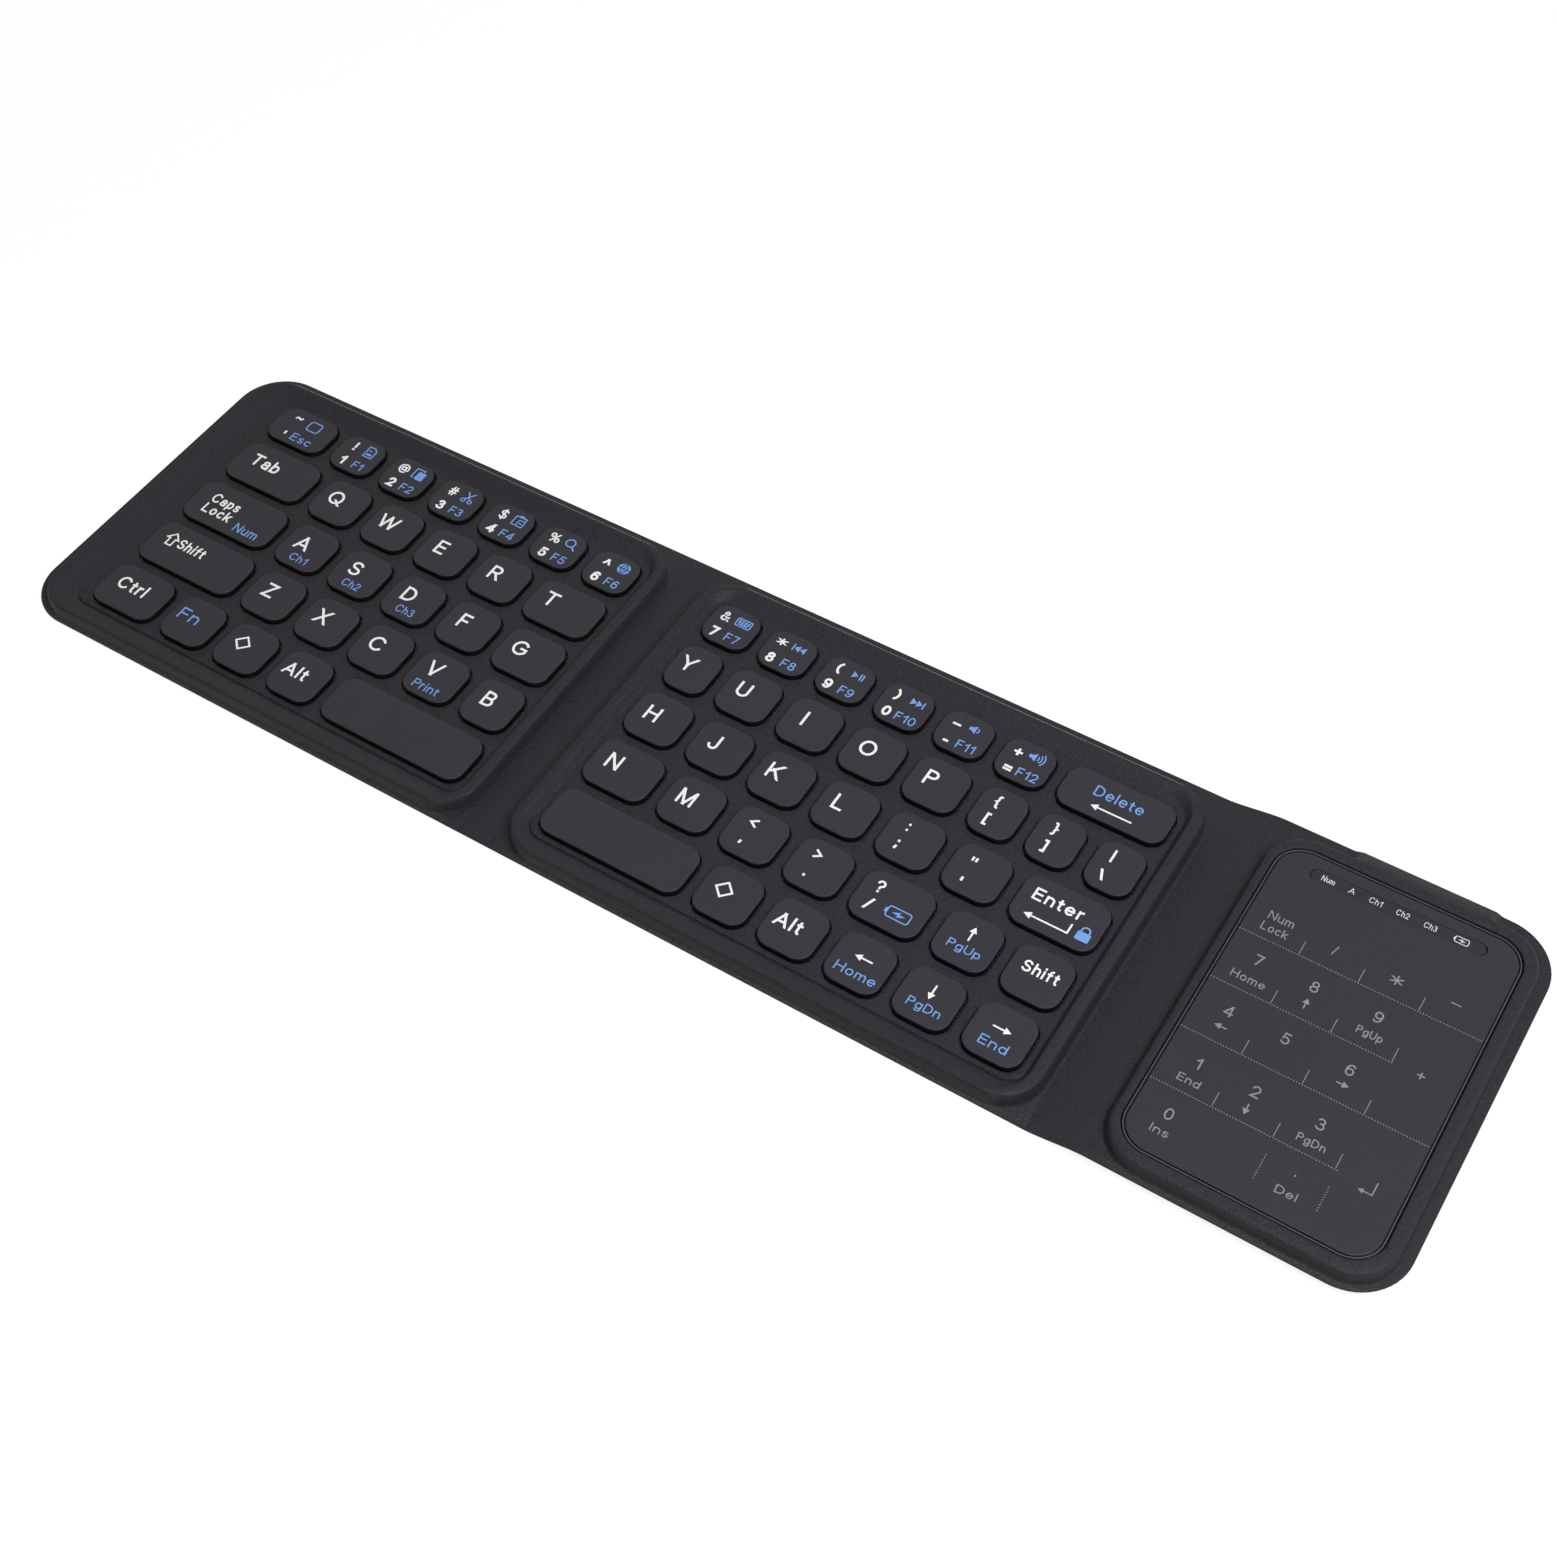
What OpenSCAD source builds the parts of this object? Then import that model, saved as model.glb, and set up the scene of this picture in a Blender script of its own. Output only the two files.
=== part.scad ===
// Folding pocket keyboard in three panels: a left key panel, a middle key panel and a touch number pad.
// Two soft spines join the panels. The left panel folds over the middle one, and the pad folds on top.
// The keyboard lies open, +Y towards the back, with the origin under its centre.

/* [Overall] */
// Width of the open keyboard
overall_w = 363.8; // [355:0.1:375]
// Depth from the front edge to the back edge
overall_d = 99.7; // [98:0.1:102]
// Radius of the four outer corners
outer_corner_r = 13; // [9:0.5:16]

/* [Panels] */
// Height of the key deck above the table
deck_z = 3.3; // [3.1:0.1:3.5]
// Height of the raised rim round the keys
rim_z = 5.0; // [4.8:0.1:5.2]
// Thickness of the leather edge outside the rims, and of the spines
flange_t = 0.9; // [0.9:0.1:1]
// Thickness of the outer leather under a key panel
skin_t = 0.6; // [0.4:0.1:0.8]
// Flange left in front of the rim
flange_front = 1.3; // [1:0.1:3]
// Flange left behind the rim
flange_back = 3.7; // [2:0.1:4]
// Flange left at the outer side of the rim
flange_side = 3.6; // [2:0.1:4]

/* [Folds] */
// Left spine's hinge line on the left panel
fold_a_x = -44.1; // [-44.3:0.1:-44.0]
// Width of the left spine
left_spine_w = 8.6; // [8.5:0.1:9]
// Right spine's hinge line on the middle panel
fold_c_x = 102.9; // [102.8:0.1:103.2]
// Width of the right spine, seen from above
right_spine_w = 13.0; // [12.9:0.1:13.4]
// How far the right spine climbs to the touch panel
right_spine_rise = 2.0; // [1.8:0.1:2.1]

/* [Keys] */
// Pitch of the key rows, front to back
row_pitch = 17; // [16.8:0.1:17]
// Gap between two key wells
key_gap = 2.6; // [2.4:0.1:2.6]
// Depth of a letter key's well
key_d = 14.4; // [14:0.1:14.4]
// Depth of a number key's well
number_key_d = 12.7; // [12:0.1:13]
// Corner radius of a key well
well_r = 4.1; // [3:0.1:4.5]
// Gap between a keycap and its well
cap_gap = 0.35; // [0.25:0.05:0.45]
// Height of the keycaps' tops above the table
key_top_z = 4.5; // [4.3:0.1:4.6]
// Travel of a key
key_travel = 1.1; // [0.8:0.1:1.1]
// Height of a keycap from its top to its skirt
cap_h = 1.85; // [1.6:0.05:1.85]
// Bevel round a keycap's top
cap_bevel = 0.35; // [0.2:0.05:0.5]

/* [Touch panel] */
// Height of the rim round the touch pad
touch_rim_z = 6.0; // [5.8:0.1:6.1]
// Height of the pad's surface
pad_z = 5.7; // [5.5:0.1:5.8]
// Width of the pad's plate
pad_w = 55.0; // [53:0.1:55.2]
// Depth of the pad's plate
pad_d = 85.8; // [84:0.1:86]
// Corner radius of the pad's plate
pad_r = 6.5; // [4:0.1:7]
// Width of the trim ring round the plate
trim_w = 0.7; // [0.5:0.1:0.9]

/* [Hidden] */

eps = 0.01;
round_fn = 48;
slope_fn = 32;

// Edges of the open keyboard
left_x = -overall_w / 2;
right_x = overall_w / 2;
front_y = -overall_d / 2;
back_y = overall_d / 2;

// Hinge lines: A and B bound the left spine, C and D the right one
fold_b_x = fold_a_x + left_spine_w;
fold_d_x = fold_c_x + right_spine_w;

// Key blocks: the front left corner of each, and the widths of its wells row by row from the front
left_block_x = left_x + 16.4;
middle_block_x = left_x + 153.8;
block_y = front_y + 8.1;
left_rows = [
  [19.5, 14.4, 14.4, 14.4, 42.3],
  [31.1, 14.4, 14.4, 14.4, 14.4, 13.7],
  [28.0, 14.4, 14.4, 14.4, 14.4, 16.8],
  [25.1, 14.4, 14.4, 14.4, 14.4, 19.7],
  [18.6, 13.5, 13.5, 13.5, 13.5, 13.5, 13.7],
];
middle_rows = [
  [38.9, 14.4, 14.4, 14.4, 14.4, 14.7],
  [18.1, 14.4, 14.4, 14.4, 18.2, 14.4, 14.7],
  [14.9, 14.4, 14.4, 14.4, 14.4, 14.4, 21.7],
  [12.1, 14.4, 14.4, 14.4, 14.4, 12.1, 12.1, 12.1],
  [13.5, 13.5, 13.5, 13.5, 13.5, 13.5, 27.6],
];
number_row = 4;
left_block_w = 115.4;
middle_block_w = 124.2;
block_d = number_row * row_pitch + number_key_d;

// Where the deck ends round each key block: left, right, front and back margins from the wells
left_deck = [4.0, 1.5, 1.6, 1.4];
middle_deck = [1.6, 1.4, 1.6, 1.4];
// How far the rim's inner edge stands in from its foot, in the same order
left_rim = [1.8, 3.2, 1.8, 1.7];
middle_rim = [3.0, 3.4, 1.8, 1.7];
// Width of the rounded shoulder outside a rim's top
key_crown = 1.0;
touch_crown = 1.3;

// Layers of a key panel, from the table up
plate_t = 0.5;
membrane_t = 0.25;
plate_z = skin_t;
membrane_z = plate_z + plate_t;
works_z = membrane_z + membrane_t;
deck_t = 0.9;
// Hollow under the deck: how far it reaches past the deck's edge, and its corner radius
hollow_reach = [2.2, 2.2, 1.0, 2.2];
hollow_r = 7;
// Flex cable from the membranes to the board
flex_t = 0.12;
flex_d = 26;
flex_slot = 0.05;
cap_roof = 1.0;
cap_wall = 0.8;
cap_under_z = key_top_z - cap_roof;
dome_r = 2.4;
dome_tip_r = 1.3;

// Scissor lift under each key: two crossed frames on a pivot
lift_len = 7.6;
lift_d = 7.2;
link_w = 0.7;
link_t = 0.5;
lift_low_z = works_z + 0.27;
lift_high_z = cap_under_z - 0.27;
lift_tilt = asin((lift_high_z - lift_low_z) / lift_len);

// Touch panel
pad_x = fold_d_x + 4.05 + pad_w / 2;
pad_y = front_y + 5.9 + pad_d / 2;
trim_gap = 0.15;
recess_w = pad_w + 2 * (trim_w + 2 * trim_gap);
recess_d = pad_d + 2 * (trim_w + 2 * trim_gap);
pad_plate_t = 0.8;
sensor_t = 0.5;
sensor_z = pad_z - pad_plate_t - sensor_t;
shelf_w = 2.2;
tray_t = 0.8;
tray_inset = 2.4;
window_w = 40.4;
window_d = 3.4;
window_y = pad_y + pad_d / 2 - 4.65;
lamp_count = 6;
lamp_pitch = 6.1;

// Main board, on posts that stand on the tray's floor
board_t = 0.8;
board_z = 1.8;
board_y = pad_y + 23.5;

// Charging socket in the swelling of the back edge
socket_x = fold_d_x + 35.3;
socket_w = 8.94;
socket_h = 3.2;
socket_len = 7.3;
socket_z = 1.95;
socket_wall = 0.3;
swell_w = 34;
swell_high_z = 4.0;
swell_d = 7;

leather = [0.20, 0.20, 0.21];
leather_inside = [0.17, 0.17, 0.18];
cap_colour = [0.23, 0.23, 0.25];
steel = [0.62, 0.63, 0.65];
film = [0.72, 0.70, 0.62];
rubber_grey = [0.75, 0.75, 0.77];
lift_white = [0.86, 0.86, 0.84];
board_green = [0.08, 0.30, 0.18];
copper_film = [0.72, 0.45, 0.16];
silver = [0.70, 0.71, 0.73];
plate_black = [0.24, 0.24, 0.27];
smoke = [0.16, 0.16, 0.19];

// ---- shared shapes ----

// Rectangle with round corners between two corners
module round_rect(x0, x1, y0, y1, r, fn = round_fn) {
  translate([x0 + r, y0]) square([x1 - x0 - 2 * r, y1 - y0]);
  translate([x0, y0 + r]) square([x1 - x0, y1 - y0 - 2 * r]);
  for (x = [x0 + r, x1 - r], y = [y0 + r, y1 - r]) translate([x, y]) circle(r, $fn = fn);
}

// The whole keyboard's outline, cut to a stretch of its width
module outline(x0, x1, inset = 0) {
  intersection() {
    round_rect(left_x + inset, right_x - inset, front_y + inset, back_y - inset,
               outer_corner_r - inset);
    translate([x0, front_y]) square([x1 - x0, overall_d]);
  }
}

// A thin slice of a rounded rectangle, given as [x0, x1, y0, y1], shrunk by s
module slice(box, s, z, r) {
  translate([0, 0, z]) linear_extrude(eps)
    round_rect(box[0] + s, box[1] - s, box[2] + s, box[3] - s, max(r - s, 0.5), slope_fn);
}

// Raised body of a panel: steep outer wall and rounded shoulder. box is the crease at its foot
module raised_body(box, foot_z, top_z, r, crown) {
  hull() {
    slice(box, 0, foot_z, r);
    slice(box, 0.55 * crown, top_z - 0.8, r);
    slice(box, 0.8 * crown, top_z - 0.25, r);
    slice(box, 1.15 * crown, top_z - eps, r);
  }
}

// Dished hollow between the rim's top and the deck
module dish(rim, deck, low_z, high_z, rim_r, deck_r) {
  hull() {
    slice(deck, 0, low_z, deck_r);
    slice(rim, 0.5, high_z - 0.35, rim_r);
    slice(rim, 0, high_z + eps, rim_r);
  }
}

// ---- keys ----

function well_x(widths, i) = i == 0 ? 0 : well_x(widths, i - 1) + widths[i - 1] + key_gap;
function row_d(row) = row == number_row ? number_key_d : key_d;

// Footprint of one well, shrunk by inset
module well(block_x, rows, row, i, inset = 0) {
  x0 = block_x + well_x(rows[row], i);
  y0 = block_y + row * row_pitch;
  round_rect(x0 + inset, x0 + rows[row][i] - inset, y0 + inset, y0 + row_d(row) - inset,
             well_r - inset);
}

// Places children at the middle of every key of a block
module at_keys(block_x, rows) {
  for (row = [0:len(rows) - 1], i = [0:len(rows[row]) - 1])
    translate([block_x + well_x(rows[row], i) + rows[row][i] / 2,
               block_y + row * row_pitch + row_d(row) / 2, 0])
      children();
}

// Bevelled top of a keycap, from z up: two crossed ridges and four corner cones
module cap_top(x0, x1, y0, y1, r, z, h, bevel) {
  ridge_x = [[x0, 0], [x1, 0], [x1 - bevel, h], [x0 + bevel, h]];
  ridge_y = [[y0, 0], [y1, 0], [y1 - bevel, h], [y0 + bevel, h]];
  translate([0, y1 - r, z]) rotate([90, 0, 0]) linear_extrude(y1 - y0 - 2 * r) polygon(ridge_x);
  translate([x0 + r, 0, z]) rotate([90, 0, 90]) linear_extrude(x1 - x0 - 2 * r) polygon(ridge_y);
  for (x = [x0 + r, x1 - r], y = [y0 + r, y1 - r])
    translate([x, y, z]) cylinder(h = h, r1 = r, r2 = r - bevel, $fn = round_fn);
}

// One keycap: bevelled top, straight skirt, and a hollow that clears its lift
module keycap(block_x, rows, row, i) {
  x0 = block_x + well_x(rows[row], i) + cap_gap;
  x1 = x0 + rows[row][i] - 2 * cap_gap;
  y0 = block_y + row * row_pitch + cap_gap;
  y1 = y0 + row_d(row) - 2 * cap_gap;
  r = well_r - cap_gap;
  difference() {
    union() {
      translate([0, 0, key_top_z - cap_h]) linear_extrude(cap_h - cap_bevel)
        round_rect(x0, x1, y0, y1, r);
      cap_top(x0, x1, y0, y1, r, key_top_z - cap_bevel, cap_bevel, cap_bevel);
    }
    translate([0, 0, key_top_z - cap_h - 1]) linear_extrude(cap_h - cap_roof + 1)
      round_rect(x0 + cap_wall, x1 - cap_wall, y0 + cap_wall, y1 - cap_wall, r - cap_wall);
  }
}

module left_keys(row, first, last) {
  color(cap_colour) for (i = [first:last]) keycap(left_block_x, left_rows, row, i);
}

module middle_keys(row, first, last) {
  color(cap_colour) for (i = [first:last]) keycap(middle_block_x, middle_rows, row, i);
}

// Crossed frames of one lift, standing on the membrane
module scissor_lift() {
  mid_z = (lift_low_z + lift_high_z) / 2;
  for (way = [-1, 1]) {
    half_d = lift_d / 2 - (way > 0 ? 0 : link_w + 0.15);
    translate([0, 0, mid_z]) rotate([0, way * lift_tilt, 0]) {
      for (side = [-1, 1]) translate([0, side * half_d, 0])
        cube([lift_len, link_w, link_t], center = true);
      for (end = [-1, 1]) translate([end * (lift_len - link_w) / 2, 0, 0])
        cube([link_w, 2 * half_d, link_t], center = true);
    }
  }
  for (side = [-1, 1]) translate([0, side * (lift_d / 2 - link_w / 2 - 0.075), mid_z])
    rotate([90, 0, 0]) cylinder(h = 2 * link_w, r = 0.2, center = true, $fn = 16);
}

module rubber_dome() {
  translate([0, 0, works_z])
    cylinder(h = cap_under_z - works_z, r1 = dome_r, r2 = dome_tip_r, $fn = 24);
}

// ---- key panels ----

function deck_box(block_x, block_w, margin) = [
  block_x - margin[0], block_x + block_w + margin[1], block_y - margin[2],
  block_y + block_d + margin[3]
];
// A box [x0, x1, y0, y1] with each side moved in, or out where the step is negative
function moved_in(box, step) = [
  box[0] + step[0], box[1] - step[1], box[2] + step[2], box[3] - step[3]
];

left_foot = [left_x + flange_side, fold_a_x - 0.2, front_y + flange_front, back_y - flange_back];
middle_foot = [fold_b_x + 1.0, fold_c_x - 0.8, front_y + flange_front, back_y - flange_back];
left_deck_box = deck_box(left_block_x, left_block_w, left_deck);
middle_deck_box = deck_box(middle_block_x, middle_block_w, middle_deck);
left_hollow = moved_in(left_deck_box, -hollow_reach);
middle_hollow = moved_in(middle_deck_box, -hollow_reach);

// Leather-covered frame of a key panel: flange, raised rim, dished slope and pierced deck
module key_cover(x0, x1, foot, rim, deck, block_x, rows) {
  hollow = moved_in(deck, -hollow_reach);
  difference() {
    union() {
      translate([0, 0, skin_t]) linear_extrude(flange_t - skin_t) outline(x0, x1);
      raised_body(foot, skin_t, rim_z, 10.5, key_crown);
    }
    dish(moved_in(foot, rim), deck, deck_z, rim_z, 8.5, 4.5);
    translate([0, 0, skin_t - 1]) linear_extrude(deck_z - deck_t - skin_t + 1)
      round_rect(hollow[0], hollow[1], hollow[2], hollow[3], hollow_r);
    translate([0, 0, skin_t]) linear_extrude(rim_z)
      for (row = [0:len(rows) - 1], i = [0:len(rows[row]) - 1]) well(block_x, rows, row, i);
  }
}

// A sheet lying in a key panel's hollow, in from its wall by inset
module works_sheet(hollow, z, t, inset) {
  translate([0, 0, z]) linear_extrude(t)
    round_rect(hollow[0] + inset, hollow[1] - inset, hollow[2] + inset, hollow[3] - inset,
               hollow_r - inset);
}

// Tail of a membrane: down beside the wall at x, then out to x_end between skin and cover
module membrane_tail(x, x_end) {
  side = sign(x_end - x);
  translate([0, flex_d / 2, 0]) rotate([90, 0, 0]) linear_extrude(flex_d)
    polygon([
      [x - 0.32 * side, plate_z],
      [x_end, plate_z],
      [x_end, plate_z + flex_t],
      [x - 0.15 * side, plate_z + flex_t],
      [x - 0.15 * side, works_z],
      [x - 0.32 * side, works_z]
    ]);
}

// Slot under a cover for a flex cable, between x0 and x1, from z up
module cable_slot(x0, x1, z) {
  translate([x0, -flex_d / 2 - flex_slot, z])
    cube([x1 - x0, flex_d + 2 * flex_slot, flex_t + flex_slot]);
}

module left_outer_skin() {
  color(leather) linear_extrude(skin_t) outline(left_x - 1, fold_a_x);
}

module left_base_plate() {
  color(steel) works_sheet(left_hollow, plate_z, plate_t, 0.4);
}

module left_key_membrane() {
  color(film) union() {
    works_sheet(left_hollow, membrane_z, membrane_t, 0.3);
    membrane_tail(left_hollow[1], fold_a_x);
  }
}

module left_rubber_domes() {
  color(rubber_grey) at_keys(left_block_x, left_rows) rubber_dome();
}

module left_scissor_lifts() {
  color(lift_white) at_keys(left_block_x, left_rows) scissor_lift();
}

module left_top_cover() {
  color(leather) difference() {
    key_cover(left_x - 1, fold_a_x, left_foot, left_rim, left_deck_box, left_block_x, left_rows);
    magnet_pair(left_x + 7.6, skin_t);
    cable_slot(left_hollow[1] - 1, fold_a_x + 1, skin_t);
  }
}

module middle_outer_skin() {
  color(leather) linear_extrude(skin_t) outline(fold_b_x, fold_c_x);
}

module middle_base_plate() {
  color(steel) works_sheet(middle_hollow, plate_z, plate_t, 0.4);
}

module middle_key_membrane() {
  color(film) union() {
    works_sheet(middle_hollow, membrane_z, membrane_t, 0.3);
    membrane_tail(middle_hollow[0], fold_b_x);
    membrane_tail(middle_hollow[1], fold_c_x);
  }
}

module middle_rubber_domes() {
  color(rubber_grey) at_keys(middle_block_x, middle_rows) rubber_dome();
}

module middle_scissor_lifts() {
  color(lift_white) at_keys(middle_block_x, middle_rows) scissor_lift();
}

module middle_top_cover() {
  color(leather) difference() {
    key_cover(fold_b_x, fold_c_x, middle_foot, middle_rim, middle_deck_box, middle_block_x,
              middle_rows);
    cable_slot(fold_b_x - 1, middle_hollow[0] + 1, skin_t);
    cable_slot(middle_hollow[1] - 1, fold_c_x + 1, skin_t);
  }
}

// Two bar magnets that hold the folded panels shut
module magnet_pair(x, z) {
  for (y = [-26, 26]) translate([x - 1.5, y - 6, z]) cube([3, 12, 1.5]);
}

module left_closing_magnets() {
  color(silver) magnet_pair(left_x + 7.6, skin_t);
}

// ---- spines ----

// A layer of a spine between two heights above its underside, d deep, climbing by rise
module spine_layer(x0, len, rise, low, high, d) {
  translate([x0, d / 2, 0]) rotate([90, 0, 0]) linear_extrude(d)
    polygon([[0, low], [len, low + rise], [len, high + rise], [0, high]]);
}

module spine_outer_skin(x0, len, rise) {
  color(leather) spine_layer(x0, len, rise, 0, skin_t, overall_d);
}

module spine_flex_cable(x0, len, rise) {
  color(copper_film) spine_layer(x0, len, rise, skin_t, skin_t + flex_t, flex_d);
}

module spine_inner_skin(x0, len, rise) {
  color(leather_inside) difference() {
    spine_layer(x0, len, rise, skin_t, flange_t, overall_d);
    spine_layer(x0, len, rise, skin_t - 1, skin_t + flex_t, flex_d);
  }
}

module left_spine_outer_skin() {
  spine_outer_skin(fold_a_x, left_spine_w, 0);
}

module left_spine_flex_cable() {
  spine_flex_cable(fold_a_x, left_spine_w, 0);
}

module left_spine_inner_skin() {
  spine_inner_skin(fold_a_x, left_spine_w, 0);
}

module right_spine_outer_skin() {
  spine_outer_skin(fold_c_x, right_spine_w, right_spine_rise);
}

module right_spine_flex_cable() {
  spine_flex_cable(fold_c_x, right_spine_w, right_spine_rise);
}

module right_spine_inner_skin() {
  spine_inner_skin(fold_c_x, right_spine_w, right_spine_rise);
}

// ---- touch panel ----

// Underside of the touch panel's flange, level with the top of the right spine's climb
touch_flange_z = right_spine_rise;
touch_foot = [fold_d_x + 0.3, right_x - 2.4, front_y + flange_front, back_y - 3.3];
tray_box = [fold_d_x + 1.6, right_x - tray_inset, front_y + tray_inset, back_y - tray_inset];
touch_hollow = [
  pad_x - recess_w / 2 + shelf_w, pad_x + recess_w / 2 - shelf_w,
  pad_y - recess_d / 2 + shelf_w, pad_y + recess_d / 2 - shelf_w
];
touch_cable_z = skin_t + right_spine_rise;

// Outline of the pad's plate, grown all round
module pad_rect(grow) {
  round_rect(pad_x - pad_w / 2 - grow, pad_x + pad_w / 2 + grow, pad_y - pad_d / 2 - grow,
             pad_y + pad_d / 2 + grow, pad_r + grow);
}

// The back edge swells round the charging socket
module socket_swelling() {
  hull() {
    translate([socket_x - swell_w / 2, back_y - swell_d, 0.9])
      cube([swell_w, swell_d, swell_high_z - 1.6]);
    translate([socket_x - swell_w / 2 + 3, back_y - swell_d, 0.1])
      cube([swell_w - 6, swell_d, swell_high_z - 0.4]);
    translate([socket_x - swell_w / 2 + 3, back_y - swell_d, 0])
      cube([swell_w - 6, swell_d - 0.9, swell_high_z]);
  }
}

// The room for the socket, from outside the back edge to the socket's inner end
module socket_hole(grow) {
  translate([0, back_y + 1, socket_z]) rotate([90, 0, 0]) linear_extrude(socket_len + 1.4)
    round_rect(socket_x - socket_w / 2 - grow, socket_x + socket_w / 2 + grow,
               -socket_h / 2 - grow, socket_h / 2 + grow, socket_h / 2 + grow - eps, 32);
}

// Everything that the tray and the cover leave free: parts' hollow, socket and board's tongue
module touch_room() {
  translate([0, 0, tray_t]) linear_extrude(sensor_z)
    round_rect(touch_hollow[0], touch_hollow[1], touch_hollow[2], touch_hollow[3], 3);
  translate([socket_x - 9.5, back_y - 9.5, tray_t]) cube([19, 4.4, 3.3]);
  socket_hole(0.05);
}

// Leather-covered tray that holds the battery, with posts for the board
module touch_bottom_tray() {
  color(leather) union() {
    difference() {
      union() {
        hull() {
          slice(tray_box, 0, touch_flange_z - eps, 10);
          slice(tray_box, 0.5, 0.6, 10);
          slice(tray_box, 1.3, 0, 10);
        }
        intersection() {
          socket_swelling();
          translate([0, 0, -1]) linear_extrude(1 + touch_flange_z) square([400, 400], center = true);
        }
      }
      touch_room();
    }
    for (x = [touch_hollow[0] + 3.6, touch_hollow[1] - 3.6], y = [board_y + 2, board_y + 15.5])
      translate([x, y, tray_t - 0.1]) cylinder(h = board_z - tray_t + 0.1, r = 1.2, $fn = 24);
  }
}

// Rim and flange round the pad, with the shelf that carries the sensor board
module touch_top_cover() {
  color(leather) difference() {
    union() {
      translate([0, 0, touch_flange_z]) linear_extrude(flange_t) outline(fold_d_x, right_x + 1);
      raised_body(touch_foot, touch_flange_z, touch_rim_z, 10.5, touch_crown);
      intersection() {
        socket_swelling();
        translate([0, 0, touch_flange_z]) linear_extrude(10) square([400, 400], center = true);
      }
    }
    translate([0, 0, sensor_z]) linear_extrude(5) pad_rect(trim_w + 2 * trim_gap);
    touch_room();
    magnet_pair(right_x - 4.8, touch_flange_z);
    cable_slot(fold_d_x - 1, touch_hollow[0] + 1, touch_cable_z);
  }
}

module battery() {
  color(silver) translate([pad_x, pad_y - 8, tray_t]) {
    linear_extrude(2.6) round_rect(-22, 22, -28, 28, 1.5);
    translate([-16, 28 - eps, 0.4]) cube([32, 2.5, 1.4]);
  }
}

// Two wires from the battery's tab to the board
module battery_leads() {
  color([0.6, 0.1, 0.08]) for (x = [-1.2, 1.2])
    translate([pad_x - 8 + x, board_y + 2.2, board_z + board_t + 0.3]) rotate([90, 0, 0])
      cylinder(h = 4.8, r = 0.3, $fn = 16);
}

// Board with its tongue behind the socket, three chips and the connector under the pad
module main_board() {
  top_z = board_z + board_t - eps;
  color(board_green) difference() {
    union() {
      translate([touch_hollow[0] + 1.5, board_y, board_z])
        cube([touch_hollow[1] - touch_hollow[0] - 3, touch_hollow[3] - board_y - 0.5, board_t]);
      translate([socket_x - 8, board_y + 10, board_z])
        cube([16, back_y - 5.3 - board_y - 10, board_t]);
    }
    socket_hole(0.05);
  }
  color(smoke) {
    translate([pad_x - 20, board_y + 3.5, top_z]) cube([7, 7, 0.9]);
    translate([pad_x + 2, board_y + 2.5, top_z]) cube([5, 5, 0.8]);
    translate([pad_x + 16, board_y + 5.5, top_z]) cube([5, 2.4, 1.0]);
    translate([pad_x - 6, board_y + 11, top_z]) cube([12, 2.4, sensor_z - top_z]);
  }
}

// Flex cable from the right spine, along the tray's side and onto the board
module board_flex_cable() {
  color(copper_film) translate([0, 0, touch_cable_z]) {
    translate([fold_d_x, -flex_d / 2, 0]) cube([8, flex_d, flex_t]);
    translate([fold_d_x + 5.5, -flex_d / 2, 0]) cube([2.5, board_y + 5 + flex_d / 2, flex_t]);
  }
}

// Stamped shell with a solid inner end, its two solder tabs and the contact tongue
module usb_c_socket() {
  color(steel) {
    difference() {
      translate([0, back_y - 0.4, socket_z]) rotate([90, 0, 0]) linear_extrude(socket_len)
        round_rect(socket_x - socket_w / 2, socket_x + socket_w / 2, -socket_h / 2, socket_h / 2,
                   socket_h / 2 - eps, 32);
      translate([0, back_y + 1, socket_z]) rotate([90, 0, 0]) linear_extrude(socket_len)
        round_rect(socket_x - socket_w / 2 + socket_wall, socket_x + socket_w / 2 - socket_wall,
                   -socket_h / 2 + socket_wall, socket_h / 2 - socket_wall,
                   socket_h / 2 - socket_wall - eps, 32);
    }
    for (side = [-1, 1])
      translate([socket_x + side * (socket_w / 2 + 0.34) - 0.76, back_y - 7.2, board_z + board_t])
        cube([1.52, 1.5, 0.3]);
  }
  color(smoke) translate([socket_x - 3.3, back_y - socket_len, socket_z - 0.35])
    cube([6.6, socket_len - 2, 0.7]);
}

module touch_sensor_board() {
  color(board_green) difference() {
    translate([0, 0, sensor_z]) linear_extrude(sensor_t) pad_rect(trim_w + trim_gap);
    lamp_row(0.05, 1);
  }
}

// Row of small lamps behind the indicator window
module lamp_row(grow, height) {
  for (i = [0:lamp_count - 1])
    translate([pad_x + (i - (lamp_count - 1) / 2) * lamp_pitch, window_y, sensor_z + sensor_t / 2])
      cube([1.6 + 2 * grow, 0.8 + 2 * grow, height], center = true);
}

module indicator_lamps() {
  color([0.9, 0.9, 0.8]) lamp_row(0, sensor_t);
}

module window_rect() {
  round_rect(pad_x - window_w / 2, pad_x + window_w / 2, window_y - window_d / 2,
             window_y + window_d / 2, window_d / 2 - eps, 32);
}

module indicator_window() {
  color(smoke) translate([0, 0, sensor_z + sensor_t]) linear_extrude(pad_plate_t - 0.1)
    window_rect();
}

module touch_pad_trim() {
  color(smoke) translate([0, 0, sensor_z + sensor_t]) linear_extrude(pad_plate_t - 0.1) difference() {
    pad_rect(trim_w + trim_gap);
    pad_rect(trim_gap);
  }
}

module touch_pad_plate() {
  color(plate_black) translate([0, 0, sensor_z + sensor_t]) linear_extrude(pad_plate_t) difference() {
    pad_rect(0);
    window_rect();
  }
}

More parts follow.
